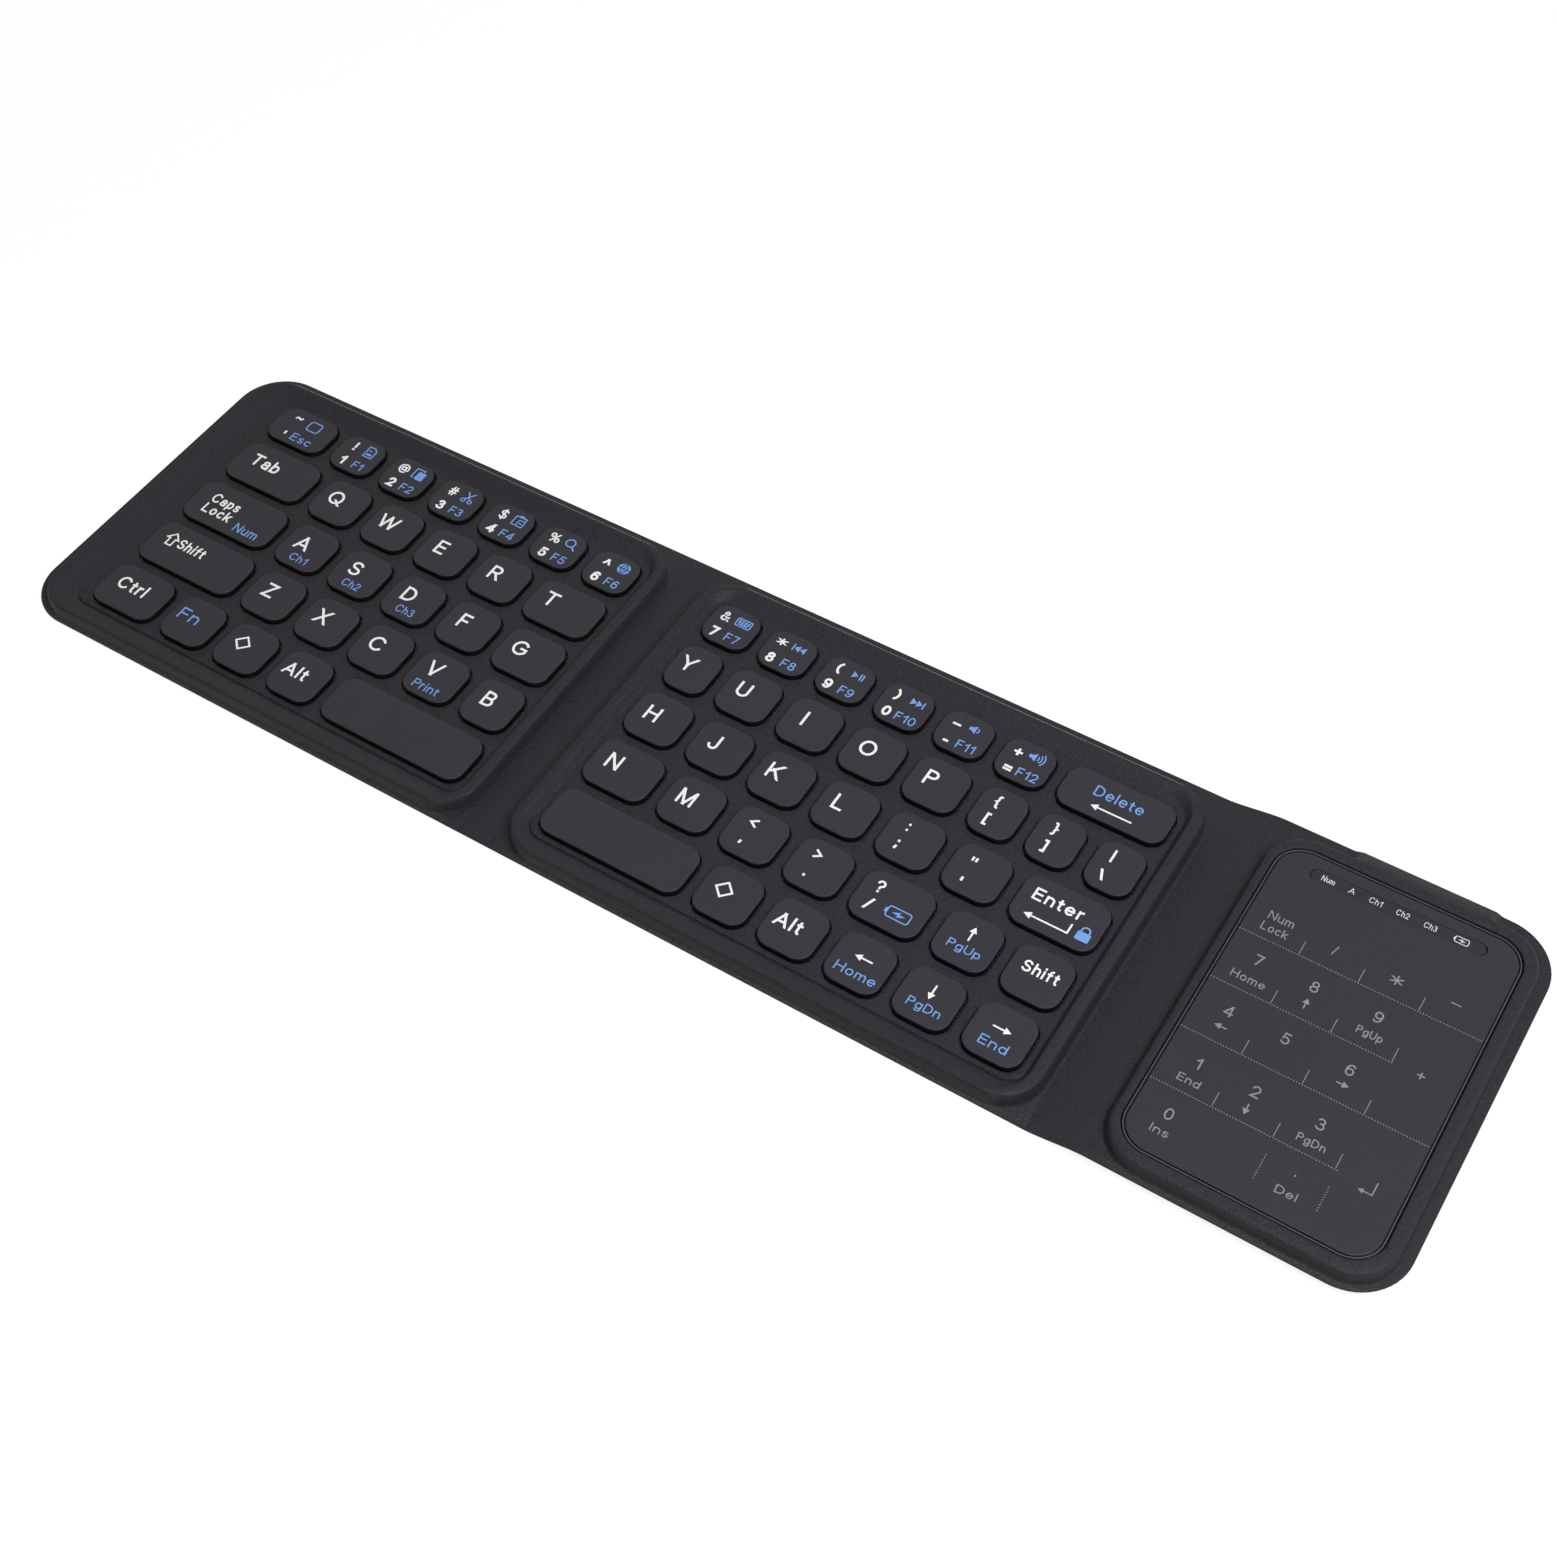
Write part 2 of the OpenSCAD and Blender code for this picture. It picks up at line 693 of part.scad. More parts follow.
module touch_closing_magnets() {
  color(silver) magnet_pair(right_x - 4.8, touch_flange_z);
}

// ---- nodes ----

middle_outer_skin();
middle_base_plate();
middle_key_membrane();
middle_rubber_domes();
middle_scissor_lifts();
middle_top_cover();
left_outer_skin();
left_base_plate();
left_key_membrane();
left_rubber_domes();
left_scissor_lifts();
left_top_cover();
left_closing_magnets();
left_spine_outer_skin();
left_spine_flex_cable();
left_spine_inner_skin();
right_spine_outer_skin();
right_spine_flex_cable();
right_spine_inner_skin();
touch_bottom_tray();
battery();
main_board();
usb_c_socket();
touch_top_cover();
touch_sensor_board();
indicator_lamps();
indicator_window();
touch_pad_trim();
touch_pad_plate();
touch_closing_magnets();
board_flex_cable();
battery_leads();
left_keys(0, 0, 0);  // control_key
left_keys(0, 1, 1);  // function_key
left_keys(0, 2, 3);  // left_option_keys
left_keys(0, 4, 4);  // left_space_key
left_keys(1, 0, 0);  // left_shift_key
left_keys(1, 1, 5);  // left_lower_letter_keys
left_keys(2, 0, 0);  // caps_lock_key
left_keys(2, 1, 5);  // left_home_letter_keys
left_keys(3, 0, 0);  // tab_key
left_keys(3, 1, 5);  // left_upper_letter_keys
left_keys(4, 0, 0);  // escape_key
left_keys(4, 1, 6);  // left_number_keys
middle_keys(0, 0, 0);  // right_space_key
middle_keys(0, 1, 2);  // right_option_keys
middle_keys(0, 3, 3);  // arrow_left_key
middle_keys(0, 4, 4);  // arrow_down_key
middle_keys(0, 5, 5);  // arrow_right_key
middle_keys(1, 0, 4);  // right_lower_letter_keys
middle_keys(1, 5, 5);  // arrow_up_key
middle_keys(1, 6, 6);  // right_shift_key
middle_keys(2, 0, 5);  // right_home_letter_keys
middle_keys(2, 6, 6);  // enter_key
middle_keys(3, 0, 4);  // right_upper_letter_keys
middle_keys(3, 5, 7);  // bracket_keys
middle_keys(4, 0, 5);  // right_number_keys
middle_keys(4, 6, 6);  // delete_key
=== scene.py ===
"""Looks of the folding keyboard: leather panels and spines, keycaps with their print, touch pad and stage."""

import math

import bmesh
import bpy
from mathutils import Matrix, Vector


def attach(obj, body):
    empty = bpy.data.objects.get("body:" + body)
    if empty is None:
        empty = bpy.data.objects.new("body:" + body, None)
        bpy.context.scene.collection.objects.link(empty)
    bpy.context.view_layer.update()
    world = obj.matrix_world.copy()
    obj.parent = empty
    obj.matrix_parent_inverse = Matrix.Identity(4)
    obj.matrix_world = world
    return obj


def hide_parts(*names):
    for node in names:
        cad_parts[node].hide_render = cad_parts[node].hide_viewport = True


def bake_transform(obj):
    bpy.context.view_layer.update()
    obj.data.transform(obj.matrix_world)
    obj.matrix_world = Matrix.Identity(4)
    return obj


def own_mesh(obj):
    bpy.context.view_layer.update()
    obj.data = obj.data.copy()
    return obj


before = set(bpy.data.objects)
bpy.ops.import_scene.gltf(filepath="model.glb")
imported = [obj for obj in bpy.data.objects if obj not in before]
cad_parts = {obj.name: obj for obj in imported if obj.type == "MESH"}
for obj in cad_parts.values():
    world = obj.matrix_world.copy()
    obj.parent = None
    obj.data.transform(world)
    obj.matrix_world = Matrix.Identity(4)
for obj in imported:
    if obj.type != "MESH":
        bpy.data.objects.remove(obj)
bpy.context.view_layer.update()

MM = 0.001

# ---- measures in millimetres, the same as the solids' ----

LEFT_X, RIGHT_X, FRONT_Y, BACK_Y = -181.9, 181.9, -49.85, 49.85
CORNER_R = 13.0
FOLD_A, FOLD_B, FOLD_C, FOLD_D = -44.1, -35.5, 102.9, 115.9
FLANGE_T = 0.9
TOUCH_FLANGE_Z = 2.0
SKIN_T = 0.6
DECK_Z, DECK_UNDER_Z = 3.3, 2.4
KEY_RIM_Z, TOUCH_RIM_Z = 5.0, 6.0

ROW_PITCH, KEY_GAP, WELL_R, CAP_GAP = 17.0, 2.6, 4.1, 0.35
LETTER_D, NUMBER_D, NUMBER_ROW = 14.4, 12.7, 4
KEY_W, NUMBER_W = 14.4, 13.5
KEY_TOP_Z, SKIRT_Z, CAP_UNDER_Z, CAP_WALL = 4.5, 2.65, 3.5, 0.8
BLOCK_Y = -41.75

PANELS = {
    "left": {
        "ends": (LEFT_X, FOLD_A), "corners": (0, 0, CORNER_R, CORNER_R), "block_x": -165.5,
        "foot": (-178.3, -44.3, -49.0, 46.15), "rim": (1.8, 3.2, 1.2, 1.7),
        "deck": (-169.5, -48.6, -43.35, 40.35),
        "rows": [[19.5, *[KEY_W] * 3, 42.3], [31.1, *[KEY_W] * 4, 13.7], [28.0, *[KEY_W] * 4, 16.8],
                 [25.1, *[KEY_W] * 4, 19.7], [18.6, *[NUMBER_W] * 5, 13.7]],
    },
    "middle": {
        "ends": (FOLD_B, FOLD_C), "corners": (0, 0, 0, 0), "block_x": -28.1,
        "foot": (-34.5, 102.1, -49.0, 46.15), "rim": (3.0, 3.4, 1.2, 1.7),
        "deck": (-29.7, 97.5, -43.35, 40.35),
        "rows": [[38.9, *[KEY_W] * 4, 14.7], [18.1, *[KEY_W] * 3, 18.2, KEY_W, 14.7],
                 [14.9, *[KEY_W] * 5, 21.7], [12.1, *[KEY_W] * 4, *[12.1] * 3], [*[NUMBER_W] * 6, 27.6]],
    },
}

# Keys that move as one piece: panel, row from the front, first and last key
KEY_NODES = {
    "control_key": ("left", 0, 0, 0), "function_key": ("left", 0, 1, 1),
    "left_option_keys": ("left", 0, 2, 3), "left_space_key": ("left", 0, 4, 4),
    "left_shift_key": ("left", 1, 0, 0), "left_lower_letter_keys": ("left", 1, 1, 5),
    "caps_lock_key": ("left", 2, 0, 0), "left_home_letter_keys": ("left", 2, 1, 5),
    "tab_key": ("left", 3, 0, 0), "left_upper_letter_keys": ("left", 3, 1, 5),
    "escape_key": ("left", 4, 0, 0), "left_number_keys": ("left", 4, 1, 6),
    "right_space_key": ("middle", 0, 0, 0), "right_option_keys": ("middle", 0, 1, 2),
    "arrow_left_key": ("middle", 0, 3, 3), "arrow_down_key": ("middle", 0, 4, 4),
    "arrow_right_key": ("middle", 0, 5, 5), "right_lower_letter_keys": ("middle", 1, 0, 4),
    "arrow_up_key": ("middle", 1, 5, 5), "right_shift_key": ("middle", 1, 6, 6),
    "right_home_letter_keys": ("middle", 2, 0, 5), "enter_key": ("middle", 2, 6, 6),
    "right_upper_letter_keys": ("middle", 3, 0, 4), "bracket_keys": ("middle", 3, 5, 7),
    "right_number_keys": ("middle", 4, 0, 5), "delete_key": ("middle", 4, 6, 6),
}

PAD = (119.95, 174.95, -43.95, 41.85)
PAD_R, PAD_Z, PAD_UNDER_Z = 6.5, 5.7, 4.9
WINDOW = (127.25, 167.65, 35.5, 38.9)
TRIM_GAP, TRIM_W, TRIM_Z = 0.15, 0.7, 5.6
SOCKET_X, SOCKET_Z = 151.2, 1.95


def placed(name, data):
    """A new object in the scene, at the origin."""
    thing = bpy.data.objects.new(name, data)
    bpy.context.scene.collection.objects.link(thing)
    return thing


# ---- camera ----

def place_camera():
    data = bpy.data.cameras.new("photo_camera")
    camera = placed("photo_camera", data)
    camera.location = (0.180838, -0.264244, 0.409209)
    camera.rotation_euler = [math.radians(a) for a in (37.56255, 2.04201, 32.92987)]
    data.sensor_width, data.lens = 36, 51.2287
    data.shift_x, data.shift_y = 0.04635, 0.00272
    data.clip_start, data.clip_end = 0.01, 20
    bpy.context.scene.camera = camera


place_camera()


# ---- mesh helpers: everything is drawn in millimetres and finished in metres ----

SIDE_LEAD, LEAST_R = 1.2, 0.02
SHARP_ANGLE = 38


def ring(box, corner, z, steps=8):
    """Points anticlockwise round a box with round corners. corner is one radius, or four: front right,
    back right, back left and front left. A point a little way along each side keeps its face level."""
    x0, x1, y0, y1 = box
    radii = corner if isinstance(corner, (list, tuple)) else [corner] * 4
    lead = min(SIDE_LEAD, (min(x1 - x0, y1 - y0) - 2 * max(radii)) / 3)
    points = []
    for x, y, start, r in zip((x1, x1, x0, x0), (y0, y1, y1, y0), (-90, 0, 90, 180), radii):
        r = max(r, LEAST_R)
        cx, cy = (x - r if x == x1 else x + r), (y - r if y == y1 else y + r)
        turn = [math.radians(start + 90 * i / steps) for i in range(steps + 1)]
        arc = [(cx + r * math.cos(a), cy + r * math.sin(a)) for a in turn]
        if lead > 0.1:
            first, last = turn[0], turn[-1]
            arc.insert(0, (arc[0][0] + lead * math.sin(first), arc[0][1] - lead * math.cos(first)))
            arc.append((arc[-1][0] - lead * math.sin(last), arc[-1][1] + lead * math.cos(last)))
        points += [(px, py, z) for px, py in arc]
    return points


def moved_in(box, step):
    step = step if isinstance(step, (list, tuple)) else [step] * 4
    return (box[0] + step[0], box[1] - step[1], box[2] + step[2], box[3] - step[3])


def rings_round(box, r, profile, steps=8, out=False):
    """Rings round a box with corners of radius r, each moved in from it, or out, by its own distance."""
    way = -1 if out else 1
    return [ring(moved_in(box, way * s), r - way * s, z, steps) for s, z in profile]


def between(a, b, t):
    return [p + (q - p) * t for p, q in zip(a, b)]


def loft(bm, rings):
    """Joins rings of points, each to the next, and returns the rings of vertices."""
    loops = [[bm.verts.new(p) for p in points] if isinstance(points[0], tuple) else points
             for points in rings]
    for a, b in zip(loops, loops[1:]):
        for i in range(len(a)):
            bm.faces.new((a[i - 1], a[i], b[i], b[i - 1]))
    return loops


def fill(bm, *loops):
    """Fills a level outline, leaving the further loops open."""
    edges = [bm.edges.get((loop[i - 1], loop[i])) for loop in loops for i in range(len(loop))]
    bmesh.ops.triangle_fill(bm, use_beauty=True, edges=edges, normal=(0, 0, 1))


def solid(bm, rings):
    """Joins rings of points, and closes the first and the last."""
    loops = loft(bm, rings)
    fill(bm, loops[0])
    fill(bm, loops[-1])


def smooth(mesh, sharp=SHARP_ANGLE):
    mesh.shade_smooth()
    mesh.set_sharp_from_angle(angle=math.radians(sharp))


def finished(name, bm, sharp=SHARP_ANGLE):
    """Turns a mesh drawn in millimetres into a finished object at the origin."""
    bmesh.ops.recalc_face_normals(bm, faces=bm.faces)
    bmesh.ops.scale(bm, vec=(MM, MM, MM), verts=bm.verts)
    mesh = bpy.data.meshes.new(name)
    bm.to_mesh(mesh)
    bm.free()
    smooth(mesh, sharp)
    return placed(name, mesh)


def apply_modifiers(piece):
    mesh = bpy.data.meshes.new_from_object(piece.evaluated_get(bpy.context.evaluated_depsgraph_get()))
    piece.modifiers.clear()
    old, piece.data = piece.data, mesh
    mesh.name = piece.name
    bpy.data.meshes.remove(old)


def dress(piece, body, material, slot=None, replaces=()):
    piece.data.materials.clear()
    piece.data.materials.append(material)
    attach(piece, body)
    if replaces:
        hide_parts(*replaces)
    return piece


# ---- materials ----

def linear(red, green, blue):
    """A colour given as it looks on a screen, 0 to 255, as the shader's numbers."""
    parts = [c / 255 for c in (red, green, blue)]
    return [c / 12.92 if c <= 0.04045 else ((c + 0.055) / 1.055) ** 2.4 for c in parts] + [1]


class Tree:
    """Short way of writing a node tree: tree.add(type, settings, inputs) with links given as sockets."""

    def __init__(self, nodes):
        self.tree = nodes

    def add(self, kind, settings=None, **inputs):
        node = self.tree.nodes.new(kind)
        for key, value in (settings or {}).items():
            setattr(node, key, value)
        for key, value in inputs.items():
            name = key.replace("_", " ")
            socket = node.inputs[int(key[1:])] if key[1:].isdigit() else node.inputs[name]
            self.put(socket, value)
        return node

    def put(self, socket, value):
        if isinstance(value, bpy.types.NodeSocket):
            self.tree.links.new(value, socket)
        else:
            socket.default_value = value

    def math(self, operation, a, b=0.0, clamp=False):
        return self.add("ShaderNodeMath", {"operation": operation, "use_clamp": clamp}, i0=a, i1=b).outputs[0]

    def mix(self, factor, a, b):
        node = self.add("ShaderNodeMix", {"data_type": "RGBA"})
        for socket, value in zip((node.inputs[0], node.inputs[6], node.inputs[7]), (factor, a, b)):
            self.put(socket, value)
        return node.outputs[2]


def group(name, given, made):
    """A shader node group that is given a Position and the named numbers, and makes the named numbers."""
    tree = bpy.data.node_groups.new(name, "ShaderNodeTree")
    tree.interface.new_socket("Position", in_out="INPUT", socket_type="NodeSocketVector")
    for labels, way in ((given, "INPUT"), (made, "OUTPUT")):
        for label in labels.split():
            tree.interface.new_socket(label, in_out=way, socket_type="NodeSocketFloat")
    return Tree(tree), tree.nodes.new("NodeGroupInput").outputs, tree.nodes.new("NodeGroupOutput").inputs


def build_grain():
    """Pebbled grain: a height for the bump and a mask of the valleys between pebbles, where the finish paints shade.
    """
    t, given, out = group("pebble_grain", "Pebble Ripple", "Height Valley")
    cells = t.add("ShaderNodeTexVoronoi", {"feature": "SMOOTH_F1"}, Vector=given["Position"],
                  Scale=given["Pebble"], Smoothness=0.35)
    fine = t.add("ShaderNodeTexNoise", Vector=given["Position"], Scale=3200.0, Detail=3.0)
    wide = t.add("ShaderNodeTexNoise", Vector=given["Position"], Scale=420.0, Detail=2.0)
    pebbles = t.math("SUBTRACT", 1.0, cells.outputs["Distance"])
    height = t.math("ADD", pebbles, t.math("MULTIPLY", fine.outputs["Fac"], given["Ripple"]))
    t.put(out["Height"], t.math("ADD", height, t.math("MULTIPLY", wide.outputs["Fac"], 0.5)))
    t.put(out["Valley"], t.math("MULTIPLY", t.math("SUBTRACT", cells.outputs["Distance"], 0.45), 2.2, True))
    return t.tree


def build_patches():
    """Soft uneven patches, from 0 to 1, as handling and moulding leave them."""
    t, given, out = group("soft_patches", "Patch Contrast", "Amount")
    cloud = t.add("ShaderNodeTexNoise", Vector=given["Position"], Scale=given["Patch"], Detail=5.0,
                  Roughness=0.6)
    spread = t.math("MULTIPLY", t.math("SUBTRACT", cloud.outputs["Fac"], 0.5), given["Contrast"])
    t.put(out["Amount"], t.math("ADD", spread, 0.5, True))
    return t.tree


def build_specks():
    """A few tiny pale specks of dust, as a mask."""
    t, given, out = group("dust_specks", "Spacing Size", "Mask")
    spots = t.add("ShaderNodeTexVoronoi", Vector=given["Position"], Scale=given["Spacing"])
    t.put(out["Mask"], t.math("LESS_THAN", spots.outputs["Distance"], given["Size"]))
    return t.tree


GRAIN, PATCHES, SPECKS = build_grain(), build_patches(), build_specks()

COAT_ROUGHNESS = 0.1
RAMP = 0.05


def surface(name, dark, light, rough, patch=30.0, contrast=1.5, metallic=0.0, coat=0.0, grain=None, dust=None,
            specular=0.5, stripes=None, glow=None, parts=(), fade=RAMP):
    """A finish with a colour that varies from dark to light, a roughness that varies from rough[0] to
    rough[1], and a grain. parts gives other colours inside boxes: for a piece made of more than one stuff, and for
    painted light and painted shade. fade is how many millimetres such a colour takes to come in along X."""
    material = bpy.data.materials.new(name)
    material.use_nodes = True
    t = Tree(material.node_tree)
    shader = material.node_tree.nodes["Principled BSDF"]
    place = t.add("ShaderNodeTexCoord").outputs["Object"]
    patches = t.add("ShaderNodeGroup", {"node_tree": PATCHES}, Position=place, Patch=patch,
                    Contrast=contrast).outputs["Amount"]
    colour = t.mix(patches, linear(*dark), linear(*light))
    t.put(shader.inputs["Roughness"], t.math("ADD", t.math("MULTIPLY", patches, rough[1] - rough[0]), rough[0]))
    if stripes:
        pitch, ink = stripes
        wave = t.add("ShaderNodeTexWave", {"bands_direction": "Y"}, Vector=place, Scale=pitch)
        colour = t.mix(t.math("GREATER_THAN", wave.outputs["Fac"], 0.62), colour, linear(*ink))
    for low, high, ink in parts:
        axes = t.add("ShaderNodeSeparateXYZ", Vector=place).outputs
        inside = 1.0
        for axis, soft, limits in zip(axes, (fade, RAMP, RAMP), zip(low, high)):
            for limit, way in zip(limits, (1, -1)):
                if limit is not None:
                    past = t.math("MULTIPLY", t.math("SUBTRACT", axis, limit * MM), way / (soft * MM))
                    inside = t.math("MULTIPLY", inside, t.math("ADD", past, 0.5, True))
        colour = t.mix(inside, colour, linear(*ink))
        if metallic:
            t.put(shader.inputs["Metallic"], t.math("SUBTRACT", metallic, inside, True))
    if grain:
        pebble, ripple, depth = grain
        grains = t.add("ShaderNodeGroup", {"node_tree": GRAIN}, Position=place, Pebble=pebble, Ripple=ripple)
        # The valleys between pebbles are darkened: painted shade
        colour = t.mix(t.math("MULTIPLY", grains.outputs["Valley"], 0.5), colour,
                       linear(*[c * 0.6 for c in dark]))
        bump = t.add("ShaderNodeBump", Strength=1.0, Distance=depth * MM, Height=grains.outputs["Height"])
        t.put(shader.inputs["Normal"], bump.outputs["Normal"])
    if dust:
        specks = t.add("ShaderNodeGroup", {"node_tree": SPECKS}, Position=place, Spacing=dust[0], Size=dust[1])
        colour = t.mix(t.math("MULTIPLY", specks.outputs["Mask"], dust[2]), colour, linear(150, 150, 150))
    t.put(shader.inputs["Base Color"], colour)
    if not parts:
        t.put(shader.inputs["Metallic"], metallic)
    for label, value in (("Specular IOR Level", specular), ("Coat Weight", coat),
                         ("Coat Roughness", COAT_ROUGHNESS)):
        t.put(shader.inputs[label], value)
    if glow:
        t.put(shader.inputs["Emission Color"], linear(*glow[0]))
        t.put(shader.inputs["Emission Strength"], glow[1])
    return material


def leather(name, parts):
    return surface(name, (41, 40, 45), (45, 44, 49), (0.52, 0.64), patch=22, specular=0.22,
                   grain=(1500, 0.6, 0.09), dust=(110, 0.013, 0.35), parts=parts, fade=10)


# A folding spine changes shape, so only the panels carry painted light and shade: a painted highlight along the
# crest at the back, painted light on the foot of the front wall, and painted shade on the band above it
SPINE_LEATHER = leather("spine_leather", [])
LEATHER = leather("panel_leather", [
    # Pale band on the back crest: a painted highlight
    ((-176, 45.1, 4.5), (101, 46.25, None), (162, 162, 166)),
    # Pale foot of the front wall on the left and middle panels: painted light
    ((None, None, None), (-50, -48.3, 2.7), (56, 56, 57)),
    ((-29, None, None), (97, -48.3, 2.7), (56, 56, 57)),
    # Dark band on the upper front wall: painted shade
    ((None, None, 2.9), (103, -48.42, 4.75), (34, 33, 37)),
    # Pale foot of the touch panel's front wall: painted light
    ((122, None, None), (None, -47.9, 3.5), (52, 52, 53))])
# Below 4.3 mm each keycap is near black: painted shade standing for its shaded sides and the gap round it
CAP_PLASTIC = surface("keycap_plastic", (49, 48, 53), (53, 52, 57), (0.5, 0.58), patch=45, specular=0.26,
                      grain=(5200, 0.8, 0.004), parts=[((None, None, None), (None, None, 4.3), (10, 10, 12))])
PAD_GLASS = surface("satin_pad", (50, 49, 56), (54, 53, 60), (0.34, 0.4), patch=18, specular=0.28,
                    grain=(6500, 1.0, 0.0012))
# The trim's narrow top is pale, a painted highlight, and it is near black below 5.5 mm, painted shade in the gaps
# either side
TRIM_PLASTIC = surface("trim_plastic", (74, 74, 80), (82, 82, 88), (0.3, 0.4), patch=60, specular=0.3,
                       parts=[((None, None, None), (None, None, 5.5), (10, 10, 12))])
LENS = surface("smoked_lens", (45, 44, 53), (49, 48, 57), (0.24, 0.3), patch=40, specular=0.28)
WHITE_INK = surface("white_ink", (242, 242, 244), (250, 250, 252), (0.5, 0.6), patch=300)
BLUE_INK = surface("blue_ink", (112, 156, 226), (122, 166, 236), (0.5, 0.6), patch=300)
GREY_INK = surface("grey_ink", (128, 128, 133), (142, 142, 147), (0.5, 0.6), patch=300)
LIT_MARK = surface("lit_mark", (206, 206, 210), (216, 216, 220), (0.4, 0.5), patch=300,
                   glow=((235, 238, 245), 0.06))
DOME_SILICONE = surface("dome_silicone", (178, 180, 186), (196, 198, 204), (0.5, 0.62), patch=120,
                        grain=(3000, 1.0, 0.004))
LIFT_PLASTIC = surface("lift_plastic", (206, 205, 198), (220, 219, 212), (0.36, 0.46), patch=150,
                       grain=(4200, 1.0, 0.002))

CAD_FINISHES = {
    "left_base_plate middle_base_plate": surface(
        "zinc_plate", (150, 153, 158), (176, 179, 184), (0.28, 0.44), patch=90, metallic=1.0,
        grain=(900, 0.4, 0.004)),
    "left_key_membrane middle_key_membrane": surface(
        "printed_film", (46, 47, 50), (56, 57, 60), (0.34, 0.46), patch=60, coat=0.2,
        stripes=(330, (108, 112, 118))),
    "left_closing_magnets touch_closing_magnets": surface(
        "nickel_magnet", (168, 168, 170), (194, 194, 196), (0.2, 0.34), patch=150, metallic=1.0,
        grain=(2600, 1.0, 0.002)),
    "left_spine_flex_cable right_spine_flex_cable board_flex_cable": surface(
        "flex_film", (150, 92, 34), (176, 112, 44), (0.28, 0.4), patch=80, coat=0.4,
        stripes=(520, (202, 140, 70))),
    "battery": surface(
        "battery_foil", (176, 178, 182), (200, 202, 206), (0.3, 0.46), patch=70, metallic=0.85,
        grain=(500, 0.8, 0.03)),
    "battery_leads": surface(
        "lead_silicone", (138, 26, 22), (160, 34, 28), (0.42, 0.52), patch=200, grain=(3000, 1.0, 0.002)),
    "main_board": surface(
        "circuit_board", (18, 66, 40), (24, 82, 50), (0.34, 0.46), patch=160, coat=0.3,
        grain=(1200, 0.8, 0.006), parts=[((None, None, 2.61), (None, None, None), (24, 24, 26))]),
    "touch_sensor_board": surface(
        "sensor_board", (14, 52, 34), (20, 66, 42), (0.34, 0.46), patch=120, coat=0.3,
        grain=(1200, 0.8, 0.004), stripes=(180, (30, 82, 54))),
    "usb_c_socket": surface(
        "drawn_steel", (160, 162, 166), (186, 188, 192), (0.22, 0.36), patch=260, metallic=1.0,
        grain=(2400, 1.0, 0.002),
        parts=[((SOCKET_X - 3.32, None, SOCKET_Z - 0.36), (SOCKET_X + 3.32, None, SOCKET_Z + 0.36),
                (20, 20, 22))]),
    "indicator_lamps": surface(
        "lamp_resin", (222, 218, 190), (236, 232, 206), (0.3, 0.4), patch=400, coat=0.4,
        glow=((240, 240, 230), 0.2)),
}


# ---- leather panels ----

RING_STEPS = 14

# The cut edge of the leather, as distance in from the edge and height above its underside
EDGE = [(0.32, 0.0), (0.16, 0.04), (0.05, 0.13), (0.0, 0.28), (0.0, 0.62), (0.05, 0.77), (0.16, 0.86), (0.32, 0.9)]
# The wall of a raised rim, from the flange to its crest, as distance in from its foot and height. The
# front wall is steeper, and has its own pair of numbers
KEY_WALL = [(-0.45, 0.9, -0.35, 0.9), (-0.2, 0.94, -0.15, 0.97), (0.0, 1.14, 0.0, 1.25), (0.15, 1.8, 0.08, 1.9),
            (0.4, 3.2, 0.14, 3.0), (0.55, 4.15, 0.2, 3.85), (0.75, 4.66, 0.28, 4.35), (0.92, 4.87, 0.4, 4.68),
            (1.15, 4.97, 0.58, 4.84)]
TOUCH_WALL = [(-0.45, 2.9, -0.5, 2.9), (-0.2, 2.94, -0.25, 2.95), (0.0, 3.14, -0.05, 3.2), (0.2, 3.9, 0.1, 3.8),
              (0.45, 4.75, 0.25, 4.6), (0.7, 5.32, 0.42, 5.1), (0.95, 5.68, 0.65, 5.45), (1.25, 5.89, 1.0, 5.7),
              (1.6, 5.97, 1.5, 5.86)]
# The dished slope from the rim's inner edge, 0, to the deck, 1: height, and height at the front, where
# it ends in a shallow groove
DISH = [(0.0, 4.97, 4.94), (0.08, 4.91, 4.89), (0.2, 4.72, 4.7), (0.4, 4.33, 4.34), (0.6, 3.93, 4.0),
        (0.8, 3.57, 3.66), (0.93, 3.4, 3.38), (1.0, 3.32, 2.88)]
# The rounded lip of a key well, as distance out from the well and height
WELL_LIP = [(0.5, 3.3), (0.32, 3.3), (0.14, 3.26), (0.03, 3.17), (0.0, 3.03), (0.0, DECK_UNDER_Z)]

# Widths of the flat rims and radii of the corners, from the panels' underside to their deck or recess
UNDER_IN = 1.2
FOOT_R, CREST_R, DECK_R, RECESS_R = 10.5, 8.5, 4.5, 7.5
CREST_OUT, DECK_IN = 0.32, 0.3
HOLLOW_R, HOLLOW_OUT = 7, (-2.2, -2.2, -1.0, -2.2)
CLEAR_OF_FOLD = 0.03


def flange_rings(ends, corners, low):
    """Rings round a panel's cut edge, from its underside to its top. A side at a spine is cut square."""
    rings = []
    for s, z in EDGE:
        box = (ends[0] + (s if corners[3] else 0), ends[1] - (s if corners[0] else 0), FRONT_Y + s, BACK_Y - s)
        rings.append(ring(box, [max(r - s, 0) for r in corners], low + z, RING_STEPS))
    return rings


def lowered_front(points, reach, z):
    """A ring with its front stretch brought to another height, smoothly round its corners."""
    front = min(y for _, y, _ in points)
    moved = []
    for x, y, level in points:
        t = min(max((front + reach - y) / reach, 0), 1)
        moved.append((x, y, level + (z - level) * t * t * (3 - 2 * t)))
    return moved


